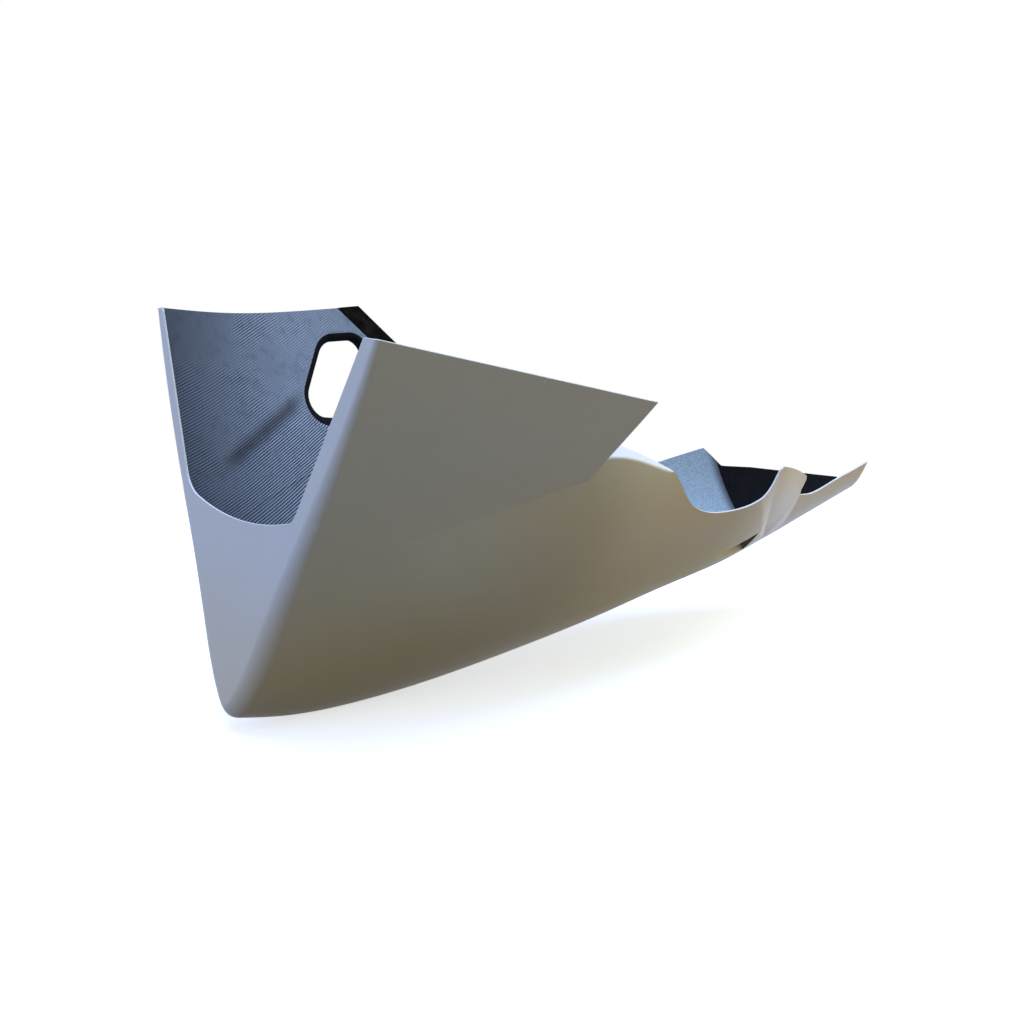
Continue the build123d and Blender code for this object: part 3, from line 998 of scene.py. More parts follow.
    def _tail_place(self, shares: Array) -> Array:
        """Places of the tail's rear end at shares of the section."""
        at = np.full_like(shares, self.tail_from)
        for _ in range(8):
            y, z = self.skin.hull.section(at, shares)
            at = self._end_x(y, z) - RAKE * z
        return at

    def _add_ledge(self, shell: Shell, at: Array, wide: Array, width: Array, rounding: Array) -> None:
        """Adds the rounded shoulder and the ledge inside it."""
        skin = self.skin
        hull, roof = skin.hull_surface(self.side), skin.roof_surface(self.side)
        rows = np.linspace(0, 1, 6)

        def bent(a: Array, b: Array) -> Array:
            size = np.interp(a, at[::-1], rounding[::-1])
            half, high = skin.hull.shoulder(a)
            low = hull(a, skin.share_scale * skin.hull.share_at(a, high - size))
            corner, inner = roof(a, half), roof(a, half - size)
            u = np.clip(b / 10, -0.01, 1.01)[:, None]
            return (1 - u) ** 2 * low + 2 * u * (1 - u) * corner + u * u * inner

        a = np.repeat(at[None], len(rows), 0)
        shell.add_grid(bent, a, np.repeat(10 * rows[:, None], len(at), 1),
                       lambda p: from_axis(p) + (0, 0, 260), free_sides="l")
        share = np.linspace(0, 1, 7)[:, None]
        b = (wide - rounding)[None] * (1 - share) + (wide - width)[None] * share
        shell.add_grid(roof, np.repeat(at[None], 7, 0), b, upward, free_sides="tlr")

    def _add_web(self, shell: Shell, start: float) -> None:
        """Adds the small web between the wing's back edge and the hull."""
        panel, skin = wing_of(self.side), self.skin
        top = float(skin.hull.shoulder(np.array([start]))[1][0])
        root_z = float(skin.meeting(np.array([panel.root_at()]))[0])
        z = np.linspace(root_z, top, 9)
        at = panel.back_edge(z) - RAKE * z

        def plate(b: Array, height: Array) -> Array:
            place = panel.back_edge(height) - RAKE * height
            inner = skin.hull.section(place, skin.hull.share_at(place, height))[0]
            outer = skin.wing_half_width(place, height) - 0.6
            y = inner + (outer - inner) * b / 10
            return np.column_stack([place + RAKE * height - 0.4, self.side.value * y, height])

        rows = np.linspace(0, 10, 4)
        shell.add_grid(plate, np.repeat(rows[None], len(at), 0), np.repeat(z[:, None], 4, 1),
                       rearward, free_sides="t")


@dataclass
class Pocket:
    """Wedge-shaped pocket, sunk low in the left side: a ramp, an upper wall and a back wall."""

    skin: Skin
    side: Side = Side.LEFT
    tip: tuple[float, float, float] = (524.0, -90.8, 80.1)
    deep: tuple[float, float, float] = (602.0, -59.6, 84.7)
    back_top: tuple[float, float, float] = (602.0, -86.5, 97.3)
    back_foot: tuple[float, float, float] = (602.0, -65.5, 76.0)
    spacing: float = 3.0

    def __post_init__(self) -> None:
        """Finds the walls' directions and the mouth, where they leave the skin."""
        corner = np.array(self.deep)
        to_tip, to_top, to_foot = (np.array(p) - corner for p in (self.tip, self.back_top, self.back_foot))
        walls = [np.cross(to_top, to_tip), np.cross(to_foot, to_top), np.cross(to_tip, to_foot)]
        self.upper, self.back, self.ramp = (wall / np.linalg.norm(wall) for wall in walls)
        x = chain([(self.tip[0], 0), (self.deep[0], 0)], self.spacing)[1:, 0]
        top = np.column_stack([x, self._mouth_height(self.upper, x, 80, 120)])
        foot = np.column_stack([x, self._mouth_height(self.ramp, x, 100, 55)])
        tip = np.array([[self.tip[0], self.tip[2]]])
        end = chain([top[-1], foot[-1]], self.spacing)
        self.runs = [np.vstack([tip, top]), end, np.vstack([foot[::-1], tip])]

    def _on_skin(self, x: Array, z: Array) -> Array:
        """Points on the skin, from side view."""
        return self.skin.hull_surface(self.side)(*self.skin.on_hull(np.column_stack([x, z])).T)

    def _mouth_height(self, wall: Array, x: Array, within: float, beyond: float) -> Array:
        """Heights at which a wall leaves the skin, between one inside the mouth and one beyond it."""
        within, beyond = np.full_like(x, within), np.full_like(x, beyond)
        for _ in range(28):
            z = (within + beyond) / 2
            open_here = (self._on_skin(x, z) - self.deep) @ wall > 0
            within, beyond = np.where(open_here, z, within), np.where(open_here, beyond, z)
        return (within + beyond) / 2

    def outline_on_hull(self) -> Array:
        """The mouth in the hull's flat coordinates."""
        return self.skin.on_hull(np.vstack([run[:-1] for run in self.runs]))

    def build(self, shell: Shell) -> None:
        """Adds the three walls, each with its inner skin."""
        surface = self.skin.hull_surface(self.side)
        deep, tip = np.array(self.deep), np.array(self.tip)
        shift = np.linalg.solve(np.array([self.upper, self.back, self.ramp]), np.full(3, -LAMINATE))
        share = np.linspace(0, 1, len(self.runs[0]))[:-1, None]
        crease = deep + (tip - deep) * share
        crease_within = crease + shift * (1 - share)
        creases = (slice(None), slice(0, 1), slice(None, None, -1))
        flat_axes = ([0, 2], [1, 2], [0, 2])
        # The back wall's outer face takes painted shade.
        finishes = (Finish.GELCOAT, Finish.PAINTED_SHADE, Finish.GELCOAT)
        for run, wall, part, axes, finish in zip(
                self.runs, (self.upper, self.back, self.ramp), creases, flat_axes, finishes):
            flat = self.skin.on_hull(run)
            mouth = surface(*flat.T)
            rim = mouth - shell.skin_normals(surface, flat, from_axis(mouth)) * LAMINATE
            outside = np.vstack([mouth, crease[part]])
            within = np.vstack([rim, crease_within[part]])
            _, triangles = fill([outside[:, axes]], 1000)
            for points, look, kind in ((outside, wall, finish), (within, -wall, Finish.CLOTH)):
                shell.append(points, triangles, np.tile(look, (len(points), 1)), points[:, [0, 2]],
                             kind, Layer.EDGE)


@dataclass
class Vent:
    """Vent in the right wing: a rounded flare that rolls out into a collar."""

    skin: Skin
    side: Side = Side.RIGHT
    corners: tuple[tuple[float, float], ...] = (
        (188.0, 234.0), (236.0, 303.5), (301.0, 302.5), (239.0, 226.0))
    radii: tuple[float, ...] = (19.0, 22.0, 15.0, 14.0)
    collar: float = 8.0
    flare: float = 11.0
    cloth_to: float = 2.2

    def rounded(self) -> tuple[Array, Array]:
        """The clear opening in side view, and at each point the direction away from it."""
        corners = [np.array(c) for c in self.corners]
        points, outward = [], []
        count = len(corners)
        arcs = []
        for i, (corner, radius) in enumerate(zip(corners, self.radii)):
            before = corner - corners[i - 1]
            after = corners[(i + 1) % count] - corner
            before, after = before / np.linalg.norm(before), after / np.linalg.norm(after)
            arcs.append(corner_arc(corner, before, after, radius, 2))
        for i, (bend, away) in enumerate(arcs):
            following = arcs[(i + 1) % count][0]
            points.append(bend)
            outward.append(away)
            run = chain([bend[-1], following[0]], 3)[1:-1]
            points.append(run)
            outward.append(np.repeat(away[-1:], len(run), 0))
        return np.vstack(points), np.vstack(outward)

    def hole(self) -> Array:
        """What the wing's panel leaves out, over (place, height)."""
        points, outward = self.rounded()
        grown = points + outward * (LAMINATE + self.flare)
        return np.column_stack([grown[:, 0] - RAKE * grown[:, 1], grown[:, 1]])

    def build(self, shell: Shell) -> None:
        """Adds the flare and its collar."""
        points, outward = self.rounded()
        wing = self.skin.wing_surface(self.side)
        n = len(points)

        def on_wing(spot: Array) -> Array:
            return wing(spot[:, 0] - RAKE * spot[:, 1], spot[:, 1])

        root = on_wing(points + outward * (LAMINATE + self.flare))
        corner = on_wing(points + outward * LAMINATE)
        outside = np.array([0.0, self.side.value, 0.0])
        bend = corner + outside * self.collar * 0.62
        rim = corner + outside * self.collar
        key = np.arange(n, dtype=float)

        def rolled(a: Array, b: Array) -> Array:
            i = np.floor(a).astype(int) % n
            j = (i + 1) % n
            part = (a - np.floor(a))[:, None]
            spots = [p[i] * (1 - part) + p[j] * part for p in (root, corner, bend, rim)]
            u = np.clip(b, 0, 10)[:, None] / 10
            curve = (1 - u) ** 2 * spots[0] + 2 * u * (1 - u) * spots[1] + u * u * spots[2]
            return curve + (spots[3] - spots[2]) * np.maximum(b - 10, 0)[:, None] / 4

        middle = on_wing(np.array([np.mean(self.corners, axis=0)]))[0]
        # The throat's inner skin takes the near-black finish: painted shade where the flare rolls away from
        # the light.
        throat = np.r_[np.linspace(self.cloth_to, 10, 6), 12, 14]
        for rows, finish, rim_side in ((np.linspace(0, self.cloth_to, 6), Finish.CLOTH, ""),
                                       (throat, Finish.NEAR_BLACK, "t")):
            shell.add_grid(rolled, np.repeat(key[None], len(rows), 0), np.repeat(rows[:, None], n, 1),
                           lambda p: (p - middle) + (0, 40, 0), rim_side, closed=True, inner=finish)
        log.info("vent: %d points round", n)


@dataclass
class Lip:
    """Lip behind the right wing's fold, turned outward."""

    skin: Skin
    side: Side = Side.RIGHT
    edge: tuple[tuple[float, float], ...] = ((298.0, 336.6), (353.5, 279.5))
    turn_out: float = 10.0

    def build(self, shell: Shell) -> None:
        """Adds the rounded fold and the lip."""
        panel = wing_of(self.side)
        wing = self.skin.wing_surface(self.side)
        near = panel.fold_line
        count = len(near)
        share = np.linspace(0, 1, count)[:, None]
        fold_xz = np.array(panel.crown[-1]) * (1 - share) + np.array(panel.tip) * share
        edge_xz = np.array(self.edge[0]) * (1 - share) + np.array(self.edge[1]) * share
        start = wing(*near.T)
        fold = wing(fold_xz[:, 0] - RAKE * fold_xz[:, 1], fold_xz[:, 1])
        edge = wing(edge_xz[:, 0] - RAKE * edge_xz[:, 1], edge_xz[:, 1])
        edge[:, 1] += self.side.value * self.turn_out
        reach = np.linalg.norm(edge - fold, axis=1)[:, None]
        after = fold + (edge - fold) * panel.fold / reach
        key = np.arange(count, dtype=float)

        def mix(parts: Sequence[Array], a: Array) -> list[Array]:
            i = np.clip(np.floor(a).astype(int), 0, count - 2)
            part = (a - i)[:, None]
            return [p[i] * (1 - part) + p[i + 1] * part for p in parts]

        def strip(a: Array, b: Array) -> Array:
            p, q, r, s = mix((start, fold, after, edge), a)
            u = np.clip(b, 0, 10)[:, None] / 10
            curve = (1 - u) ** 2 * p + 2 * u * (1 - u) * q + u * u * r
            return curve + (s - r) * np.maximum(b - 10, 0)[:, None] / 10

        # The inner skins of the fold and the lip take painted shade.
        for rows in (np.linspace(0, 10, 7), np.linspace(10, 20, 9)):
            shell.add_grid(strip, np.repeat(key[None], len(rows), 0), np.repeat(rows[:, None], count, 1),
                           from_axis, free_sides="lrt" if rows[-1] > 10 else "lr", inner=Finish.PAINTED_SHADE)


# Finishes.


class Value:
    """A number that a node gives, written in ordinary arithmetic."""

    def __init__(self, tree: "NodeTree", socket: bpy.types.NodeSocket) -> None:
        """Wraps an output socket of a node in the tree."""
        self.tree, self.socket = tree, socket

    def _math(self, operation: str, *values: "Value | float") -> "Value":
        """The result of a Math node."""
        node = self.tree.add("ShaderNodeMath", {"operation": operation}, dict(enumerate(values)))
        return Value(self.tree, node.outputs[0])

    def __add__(self, other: "Value | float") -> "Value":
        """Sum."""
        return self._math("ADD", self, other)

    def __radd__(self, other: float) -> "Value":
        """Sum, from the right."""
        return self._math("ADD", other, self)

    def __sub__(self, other: "Value | float") -> "Value":
        """Difference."""
        return self._math("SUBTRACT", self, other)

    def __rsub__(self, other: float) -> "Value":
        """Difference, from the right."""
        return self._math("SUBTRACT", other, self)

    def __mul__(self, other: "Value | float") -> "Value":
        """Product."""
        return self._math("MULTIPLY", self, other)

    def __rmul__(self, other: float) -> "Value":
        """Product, from the right."""
        return self._math("MULTIPLY", other, self)

    def sine(self) -> "Value":
        """Sine, of radians."""
        return self._math("SINE", self)

    def at_most(self, other: "Value | float") -> "Value":
        """The smaller of two."""
        return self._math("MINIMUM", self, other)

    def at_least(self, other: "Value | float") -> "Value":
        """The larger of two."""
        return self._math("MAXIMUM", self, other)

    def ramp(self, low: float, high: float) -> "Value":
        """A smooth rise from 0 at `low` to 1 at `high`."""
        node = self.tree.add("ShaderNodeMapRange", {"interpolation_type": "SMOOTHSTEP"},
                             {"Value": self, "From Min": low, "From Max": high})
        return Value(self.tree, node.outputs[0])


Colour = tuple[float, float, float]


class NodeTree:
    """A material's node tree, with short ways to fill it."""

    def __init__(self, name: str) -> None:
        """Starts a material of that name."""
        self.material = bpy.data.materials.new(name)
        self.material.use_nodes = True
        self.nodes, self.links = self.material.node_tree.nodes, self.material.node_tree.links
        self.nodes.clear()

    def add(self, kind: str, settings: Optional[dict] = None,
            inputs: Optional[dict] = None) -> bpy.types.Node:
        """Adds a node.

        Args:
            kind: the node's type.
            settings: its properties, set first.
            inputs: what goes in its sockets, by name or number: values, wrapped values, sockets or nodes.

        Returns:
            The node.
        """
        node = self.nodes.new(kind)
        for key, value in (settings or {}).items():
            setattr(node, key, value)
        for key, value in (inputs or {}).items():
            source = value.socket if isinstance(value, Value) else value
            if isinstance(source, bpy.types.Node):
                source = source.outputs[0]
            if isinstance(source, bpy.types.NodeSocket):
                self.links.new(source, node.inputs[key])
            else:
                if isinstance(source, tuple) and node.inputs[key].type == "RGBA":
                    source = (*source, 1.0)
                node.inputs[key].default_value = source
        return node

    def place(self) -> bpy.types.NodeSocket:
        """Where a point is in the row frame, in metres."""
        return self.add("ShaderNodeTexCoord").outputs["Object"]

    def parts(self, vector: bpy.types.NodeSocket) -> tuple[Value, Value, Value]:
        """The three numbers of a vector."""
        node = self.add("ShaderNodeSeparateXYZ", inputs={0: vector})
        return tuple(Value(self, out) for out in node.outputs)

    def noise(self, vector: bpy.types.NodeSocket, scale: float, detail: float = 3.0,
              roughness: float = 0.5) -> Value:
        """Smooth noise from 0 to 1."""
        node = self.add("ShaderNodeTexNoise", inputs={"Vector": vector, "Scale": scale, "Detail": detail,
                                                      "Roughness": roughness})
        return Value(self, node.outputs[0])

    def blend(self, share: Value, low: "Colour | bpy.types.NodeSocket",
              high: "Colour | bpy.types.NodeSocket") -> bpy.types.NodeSocket:
        """A colour between two."""
        return self.add("ShaderNodeMix", {"data_type": "RGBA"}, {0: share, 6: low, 7: high}).outputs[2]

    def surface(self, inputs: dict, bump: Optional[Value] = None, depth: float = 0.0003,
                strength: float = 1.0) -> bpy.types.Material:
        """Ends the tree in a Principled shader.

        Args:
            inputs: the shader's own sockets.
            bump: height that shapes the normal.
            depth: how deep the bump is, in metres.
            strength: how strong it is.

        Returns:
            The material.
        """
        if bump is not None:
            inputs = inputs | {"Normal": self.add("ShaderNodeBump", inputs={
                "Height": bump, "Distance": depth, "Strength": strength})}
        shader = self.add("ShaderNodeBsdfPrincipled", inputs=inputs)
        self.add("ShaderNodeOutputMaterial", inputs={"Surface": shader})
        return self.material


@dataclass(frozen=True)
class Gelcoat:
    """Satin pale gelcoat of the outer skin, with painted warm light towards the rear and painted warm shade
    low down.
    """

    colour: Colour = (0.50, 0.495, 0.48)
    worn: Colour = (0.44, 0.43, 0.41)
    # Painted light: a warm, darker tint that stands in for warm light at the rear and shade low down.
    warm_light: Colour = (0.45, 0.365, 0.215)
    roughness: float = 0.42

    def material(self) -> bpy.types.Material:
        """Makes the material."""
        tree = NodeTree("satin_gelcoat")
        place = tree.place()
        clouds = tree.noise(place, 5.0, 4.0)
        scuff = tree.noise(place, 38.0, 5.0, 0.6).ramp(0.52, 0.78)
        x, _, z = tree.parts(place)
        facing = tree.parts(tree.add("ShaderNodeNewGeometry").outputs["Normal"])[2]
        # Painted light and shade: the tint grows towards the rear and low down, weakens higher up, and spares
        # ledge faces that look up.
        on_ledge = facing.ramp(0.3, 0.7) * (1 - z.ramp(-0.09, -0.04))
        low = (1 - z.ramp(-0.29, -0.13)) * 0.65
        warm_light_share = x.ramp(-0.10, 0.22).at_least(low) * (1 - on_ledge) * (1 - z.ramp(-0.16, -0.06) * 0.7)
        colour = tree.blend(clouds * 0.5 + scuff * 0.16, self.colour, self.worn)
        colour = tree.blend(warm_light_share, colour, self.warm_light)
        peel = tree.noise(place, 420.0, 2.0)
        wave = tree.noise(place, 9.0, 1.0)
        return tree.surface({
            "Base Color": colour,
            "Roughness": self.roughness + clouds * 0.06 + scuff * 0.05,
            "Specular IOR Level": 0.24,
        }, peel * 0.1 + wave, 0.0008, 0.25)


@dataclass(frozen=True)
class ClothLaminate:
    """Woven cloth of the inner skin: fine slanted ribs, with patches flooded by resin, and painted shade
    along a valley and towards the front edge.
    """

    rib: Colour = (0.40, 0.48, 0.63)
    groove: Colour = (0.012, 0.018, 0.032)
    flooded: Colour = (0.105, 0.132, 0.19)
    rear_panel: Colour = (0.33, 0.41, 0.47)
    rear_speck: Colour = (0.14, 0.19, 0.24)
    rib_pitch: float = 0.0031
    yarn_pitch: float = 0.0024
    rib_slope: float = 0.62
    valley_start: tuple[float, float] = (-0.096, -0.105)
    valley_slope: float = 0.49
    black_lean: float = 0.18
    black_ramp: tuple[float, float] = (0.485, 0.4975)
    black: Colour = (0.006, 0.006, 0.008)
    weave_drift: float = 22.0
    valley_half_width: tuple[float, float] = (0.016, 0.014)

    def material(self) -> bpy.types.Material:
        """Makes the material."""
        tree = NodeTree("woven_laminate")
        place = tree.place()
        x, y, z = tree.parts(place)
        cloth = tree.add("ShaderNodeUVMap", {"uv_map": "cloth"}).outputs[0]
        u, v, _ = tree.parts(cloth)
        drift = tree.noise(place, 6.0, 2.0)
        lean = v * (2 * math.pi / self.rib_pitch) - u * (2 * math.pi / self.rib_pitch * self.rib_slope)
        ribs = (lean + drift * self.weave_drift).sine() * 0.5 + 0.5
        yarns = (u * (2 * math.pi / self.yarn_pitch) + v * (math.pi / self.yarn_pitch)).sine() * 0.5 + 0.5
        weave = ribs.ramp(0.15, 0.85) * (0.5 + yarns * 0.5)
        patch = tree.noise(place, 11.0, 4.0, 0.55)
        high = z.ramp(-0.10, 0.02)
        rear = (x - z * RAKE).ramp(0.36, 0.42)
        flood = (patch.ramp(0.50, 0.66) * 0.55 + high * patch.ramp(0.30, 0.55) + rear).at_most(0.94)
        tone = weave * (1 - flood) + flood * 0.55
        mottle = tree.noise(place, 90.0, 4.0, 0.65)
        woven = tree.blend(tone, self.groove, self.rib)
        colour = tree.blend(flood * 0.7, woven, self.flooded)
        colour = tree.blend(mottle.ramp(0.45, 0.8) * 0.35, colour, self.groove)
        start_x, start_z = self.valley_start
        beside = z - x * self.valley_slope - (start_z - start_x * self.valley_slope)
        below, above = self.valley_half_width
        valley_dip_and_shade = (1 - beside.ramp(0.0, above)) * beside.ramp(-below, 0.0) * y.ramp(0.05, 0.06)
        valley_dip_and_shade = valley_dip_and_shade * x.ramp(-0.125, -0.09) * (1 - x.ramp(-0.02, 0.01))
        # Painted shade: the cloth darkens along the valley, standing in for the shade in its dip; the bump
        # also sinks it.
        colour = tree.blend(valley_dip_and_shade * 0.80, colour, self.groove)
        shade = (1 - x.ramp(-0.18, 0.03)) * y.ramp(0.0, 0.05)
        colour = tree.blend(shade * 0.86, colour, self.groove)
        speck = tree.noise(place, 900.0, 3.0, 0.7).ramp(0.30, 0.70)
        colour = tree.blend(rear, colour, tree.blend(speck, self.rear_speck, self.rear_panel))
        edge = (x - z * (RAKE - self.black_lean)).ramp(*self.black_ramp)
        colour = tree.blend(edge * 0.85, colour, self.black)
        return tree.surface({
            "Base Color": colour,
            "Roughness": 0.50 - flood * 0.16 + mottle * 0.12,
            "Coat Weight": flood * 0.10,
            "Coat Roughness": 0.2,
            "Specular IOR Level": 0.15,
        }, weave * (1 - flood) + mottle * 0.5 - valley_dip_and_shade * 3, 0.0005, 0.55)


@dataclass(frozen=True)
class CutEdge:
    """Pale trimmed edge of the laminate."""

    colour: Colour = (0.46, 0.45, 0.43)
    dark: Colour = (0.27, 0.255, 0.23)

    def material(self) -> bpy.types.Material:
        """Makes the material."""
        tree = NodeTree("trimmed_edge")
        place = tree.place()
        speck = tree.noise(place, 300.0, 3.0, 0.6)
        return tree.surface({"Base Color": tree.blend(speck.ramp(0.45, 0.75) * 0.5, self.colour, self.dark),
                             "Roughness": 0.6}, speck, 0.0004, 0.4)


@dataclass(frozen=True)
class PaintedShade:
    """Painted shade: nearly black behind the lip, brown on the pocket's back wall."""

    colour: Colour = (0.004, 0.0035, 0.003)
    light: Colour = (0.013, 0.011, 0.009)
    # Painted shade on the pocket's back wall, brown rather than black.
    pocket: Colour = (0.17, 0.14, 0.095)

    def material(self) -> bpy.types.Material:
        """Makes the material."""
        tree = NodeTree("painted_shade")
        place = tree.place()
        streak = tree.noise(place, 60.0, 4.0, 0.6)
        colour = tree.blend(streak.ramp(0.4, 0.8), self.colour, self.light)
        in_pocket = tree.parts(place)[0].ramp(0.2, 0.25)
        return tree.surface({"Base Color": tree.blend(in_pocket, colour, self.pocket),
                             "Roughness": 0.6 + streak * 0.2, "Specular IOR Level": 0.0}, streak, 0.0005, 0.4)


@dataclass(frozen=True)
class NearBlack:
    """Matte near-black on the tail's inner skin, and painted shade in the vent's throat."""

    colour: Colour = (0.0025, 0.0025, 0.004)
    worn: Colour = (0.008, 0.008, 0.011)

    def material(self) -> bpy.types.Material:
        """Makes the material."""
        tree = NodeTree("matte_black")
        place = tree.place()
        grain = tree.noise(place, 120.0, 3.0)
        return tree.surface({"Base Color": tree.blend(grain, self.colour, self.worn),
                             "Roughness": 0.9, "Specular IOR Level": 0.05}, grain, 0.0003, 0.3)


# The studio.


@dataclass(frozen=True)
class Softbox:
    """A soft square lamp, aimed at the part."""

    name: str
    place: tuple[float, float, float]
    aim: tuple[float, float, float]
    size: float
    power: float
    colour: Colour

    def build(self) -> None:
        """Makes the lamp."""
        data = bpy.data.lights.new(self.name, "AREA")
        data.shape, data.size, data.energy, data.color = "SQUARE", self.size, self.power, self.colour
        lamp = bpy.data.objects.new(self.name, data)
        lamp.location = self.place
        lamp.rotation_euler = (Vector(self.aim) - Vector(self.place)).to_track_quat("-Z", "Y").to_euler()
        bpy.context.scene.collection.objects.link(lamp)


@dataclass(frozen=True)
class Studio:
    """Pale floor, soft light and the camera."""

    lowest: float
    floor_size: float = 24.0
    floor_centre: tuple[float, float] = (0.22, 0.0)
    camera_place: tuple[float, float, float] = (-0.77535, -1.17315, 0.15652)
    camera_azimuth: float = 38.0
    camera_drop: float = 12.286
    lens: float = 52.734
    sensor: float = 36.0
    world: Colour = (0.455, 0.42, 0.235)
    floor_bounce: Colour = (0.055, 0.042, 0.028)
    floor_shade: Colour = (0.57, 0.66, 0.92)
    floor_glow: float = 0.66
    floor_gap: float = 0.0005
    white: Colour = (1.0, 1.0, 1.0)
    lamps: tuple[Softbox, ...] = (
        Softbox("overhead_box", (0.30, 0.25, 2.3), (0.2, 0.0, 0.0), 2.4, 168.0, (0.35, 0.53, 1.0)),
        Softbox("front_box", (-2.4, 0.5, 0.55), (0.0, 0.0, -0.1), 1.6, 43.0, (0.27, 0.45, 1.0)),
        Softbox("side_box", (-0.70, -2.3, 0.60), (0.0, -0.1, -0.1), 1.6, 6.0, (0.85, 0.93, 1.0)),
        Softbox("rear_top_box", (2.0, -0.3, 1.4), (0.4, 0.0, -0.15), 1.0, 16.0, (0.95, 1.0, 0.50)),
        Softbox("tail_box", (0.95, -0.55, 0.05), (0.52, 0.0, -0.18), 0.5, 2.3, (1.0, 0.90, 0.55)),
    )

    def floor(self) -> None:
        """Makes the floor: white where it is seen or mirrored, dim and warm as it lights the part."""
        half = self.floor_size / 2
        mesh = bpy.data.meshes.new("studio_floor")
        height = self.lowest - self.floor_gap
        corners = [(x * half, y * half, height) for x, y in ((-1, -1), (1, -1), (1, 1), (-1, 1))]
        mesh.from_pydata(corners, [], [(0, 1, 2, 3)])
        floor = bpy.data.objects.new("studio_floor", mesh)
        bpy.context.scene.collection.objects.link(floor)
        tree = NodeTree("pale_floor")
        path = tree.add("ShaderNodeLightPath").outputs
        seen = (Value(tree, path["Is Camera Ray"]) + Value(tree, path["Is Glossy Ray"])
                + Value(tree, path["Is Transmission Ray"])).at_most(1.0)
        bounce = tree.add("ShaderNodeBsdfDiffuse", inputs={"Color": self.floor_bounce})
        shaded = tree.add("ShaderNodeBsdfDiffuse", inputs={"Color": self.floor_shade})
        glow = tree.add("ShaderNodeEmission", inputs={"Color": self.white, "Strength": self.floor_glow})
        white = tree.add("ShaderNodeAddShader", inputs={0: shaded, 1: glow})
        plain = tree.add("ShaderNodeEmission", inputs={"Color": self.white, "Strength": 1.0})
        x, y, _ = tree.parts(tree.place())
        x, y = x - self.floor_centre[0], y - self.floor_centre[1]
        far = (x * x + y * y).ramp(0.35, 1.1)
        backdrop = tree.add("ShaderNodeMixShader", inputs={0: far, 1: white, 2: plain})
        mixed = tree.add("ShaderNodeMixShader", inputs={0: seen, 1: bounce, 2: backdrop})
        tree.add("ShaderNodeOutputMaterial", inputs={"Surface": mixed})
        mesh.materials.append(tree.material)

    def sky(self) -> None:
        """Makes the world: white where it is seen or mirrored, soft light otherwise."""
        world = bpy.data.worlds.new("studio")
        bpy.context.scene.world = world
        world.use_nodes = True
        nodes, links = world.node_tree.nodes, world.node_tree.links
        nodes.clear()
        path = nodes.new("ShaderNodeLightPath").outputs
        light, white = nodes.new("ShaderNodeBackground"), nodes.new("ShaderNodeBackground")
        for node, colour in ((light, self.world), (white, self.white)):
            node.inputs["Color"].default_value = (*colour, 1.0)
            node.inputs["Strength"].default_value = 1.0
        either, seen = nodes.new("ShaderNodeMath"), nodes.new("ShaderNodeMath")
        mix, out = nodes.new("ShaderNodeMixShader"), nodes.new("ShaderNodeOutputWorld")
        either.operation = seen.operation = "MAXIMUM"
        links.new(path["Is Camera Ray"], either.inputs[0])
        links.new(path["Is Glossy Ray"], either.inputs[1])
        links.new(either.outputs[0], seen.inputs[0])
        links.new(path["Is Transmission Ray"], seen.inputs[1])
        links.new(seen.outputs[0], mix.inputs[0])
        links.new(light.outputs[0], mix.inputs[1])
        links.new(white.outputs[0], mix.inputs[2])
        links.new(mix.outputs[0], out.inputs["Surface"])

    def camera(self) -> None:
        """Makes the camera at the photograph's angle."""
        data = bpy.data.cameras.new("camera")
        data.lens, data.sensor_width = self.lens, self.sensor
        camera = bpy.data.objects.new("camera", data)
        camera.location = self.camera_place
        camera.rotation_euler = (math.radians(90 - self.camera_drop), 0, -math.radians(self.camera_azimuth))
        bpy.context.scene.collection.objects.link(camera)
        bpy.context.scene.camera = camera

    def build(self) -> None:
        """Makes all of it."""
        self.camera()
        self.floor()
        self.sky()
        for lamp in self.lamps:
            lamp.build()
        bpy.context.scene.view_settings.view_transform = "Standard"


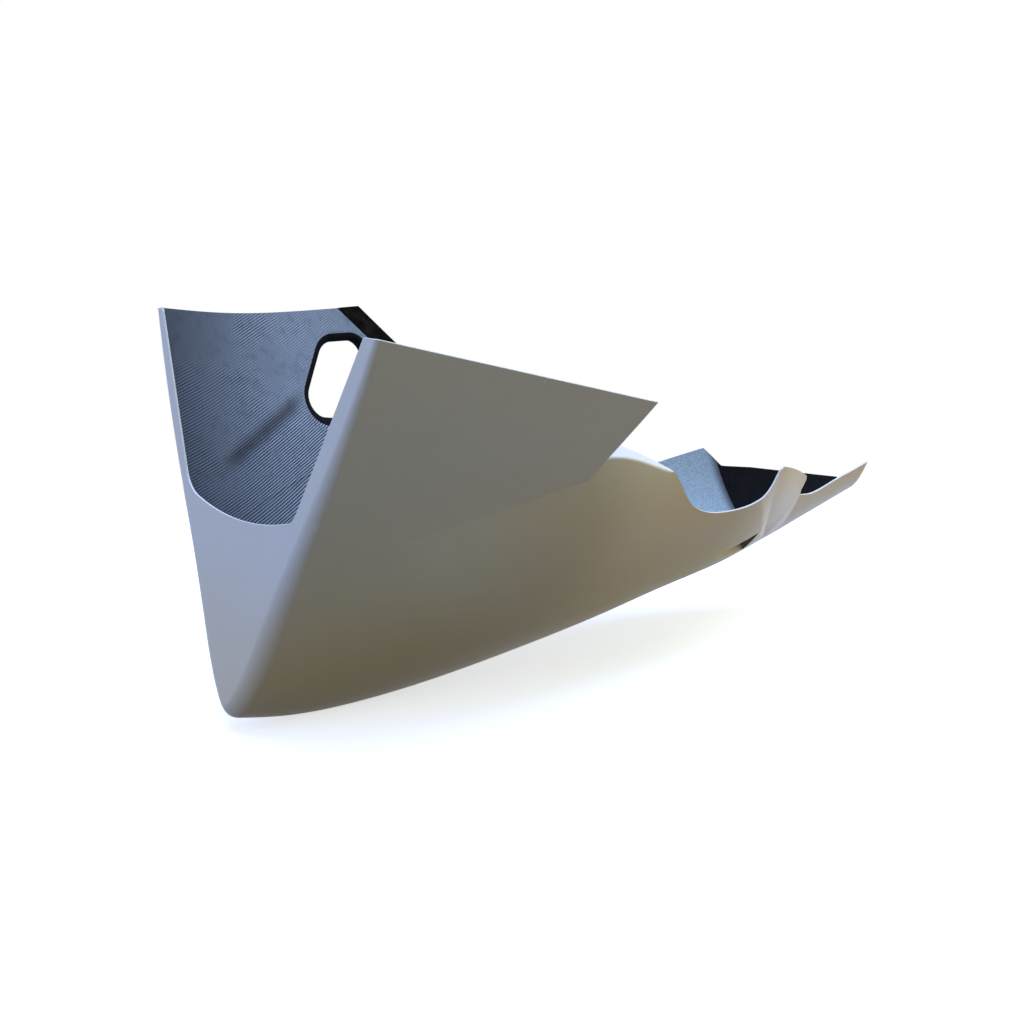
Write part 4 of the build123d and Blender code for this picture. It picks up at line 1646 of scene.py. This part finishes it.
LEFT_EDGES = (
    (True, ((411.0, 196.0), (421.0, 184.5), (431.2, 171.5), (444.0, 159.5), (460.0, 150.8), (482.0, 144.4),
            (510.0, 141.7), (537.0, 142.4), (558.0, 146.4), (573.0, 153.2), (584.0, 164.0), (592.0, 174.0))),
    (False, ((600.0, 176.4),)),
    (True, ((630.7, 168.7), (669.4, 156.8), (702.0, 145.8))),
    (False, ((707.5, 140.5), (699.5, 130.0))),
    (True, ((703.5, 123.8), (715.0, 120.0))),
    (True, ((729.4, 118.2), (782.9, 127.2), (815.0, 133.6), (850.0, 141.5))),
)
RIGHT_EDGES = (
    (True, ((411.0, 196.0), (421.0, 184.5), (431.2, 171.5), (444.0, 159.5), (460.0, 150.8), (482.0, 144.4),
            (510.0, 140.0), (560.0, 136.5), (600.0, 139.0))),
    (False, ((633.7, 145.8), (684.0, 159.5), (690.5, 151.0), (699.3, 138.4), (736.5, 133.9), (779.7, 126.2),
             (872.0, 109.8))),
)


@dataclass
class LowerFairing:
    """The whole shell."""

    nose: Nose = field(default_factory=lambda: Nose(SKINS[Side.LEFT]))
    vent: Vent = field(default_factory=lambda: Vent(SKINS[Side.RIGHT]))
    lip: Lip = field(default_factory=lambda: Lip(SKINS[Side.RIGHT]))
    pocket: Pocket = field(default_factory=lambda: Pocket(SKINS[Side.LEFT]))
    weld: float = 0.05

    def build(self) -> bpy.types.Object:
        """Makes the shell's object and dresses it."""
        shell = Shell()
        self.nose.build(shell)
        for side, edges in ((Side.LEFT, LEFT_EDGES), (Side.RIGHT, RIGHT_EDGES)):
            holes = [self.vent.hole()] if side is self.vent.side else []
            wing_of(side).build(shell, self.nose, holes)
            pocket = self.pocket if side is self.pocket.side else None
            HullSide(SKINS[side], side, edges).build(shell, self.nose, pocket)
        self.vent.build(shell)
        self.lip.build(shell)
        self.pocket.build(shell)
        made = shell.mesh("fairing_shell", self.weld)
        for finish in (Gelcoat(), ClothLaminate(), CutEdge(), PaintedShade(), NearBlack()):
            made.data.materials.append(finish.material())
        return made


def main() -> None:
    """Builds the studio and the part, hides the imported part and attaches the shell to the root body."""
    Studio(lowest=CAD_BOX[0].z).build()
    shell = LowerFairing().build()
    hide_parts("lower_fairing")
    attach(shell, "root")
    log.info("shell: %d faces", len(shell.data.polygons))


if __name__ == "__main__":
    main()
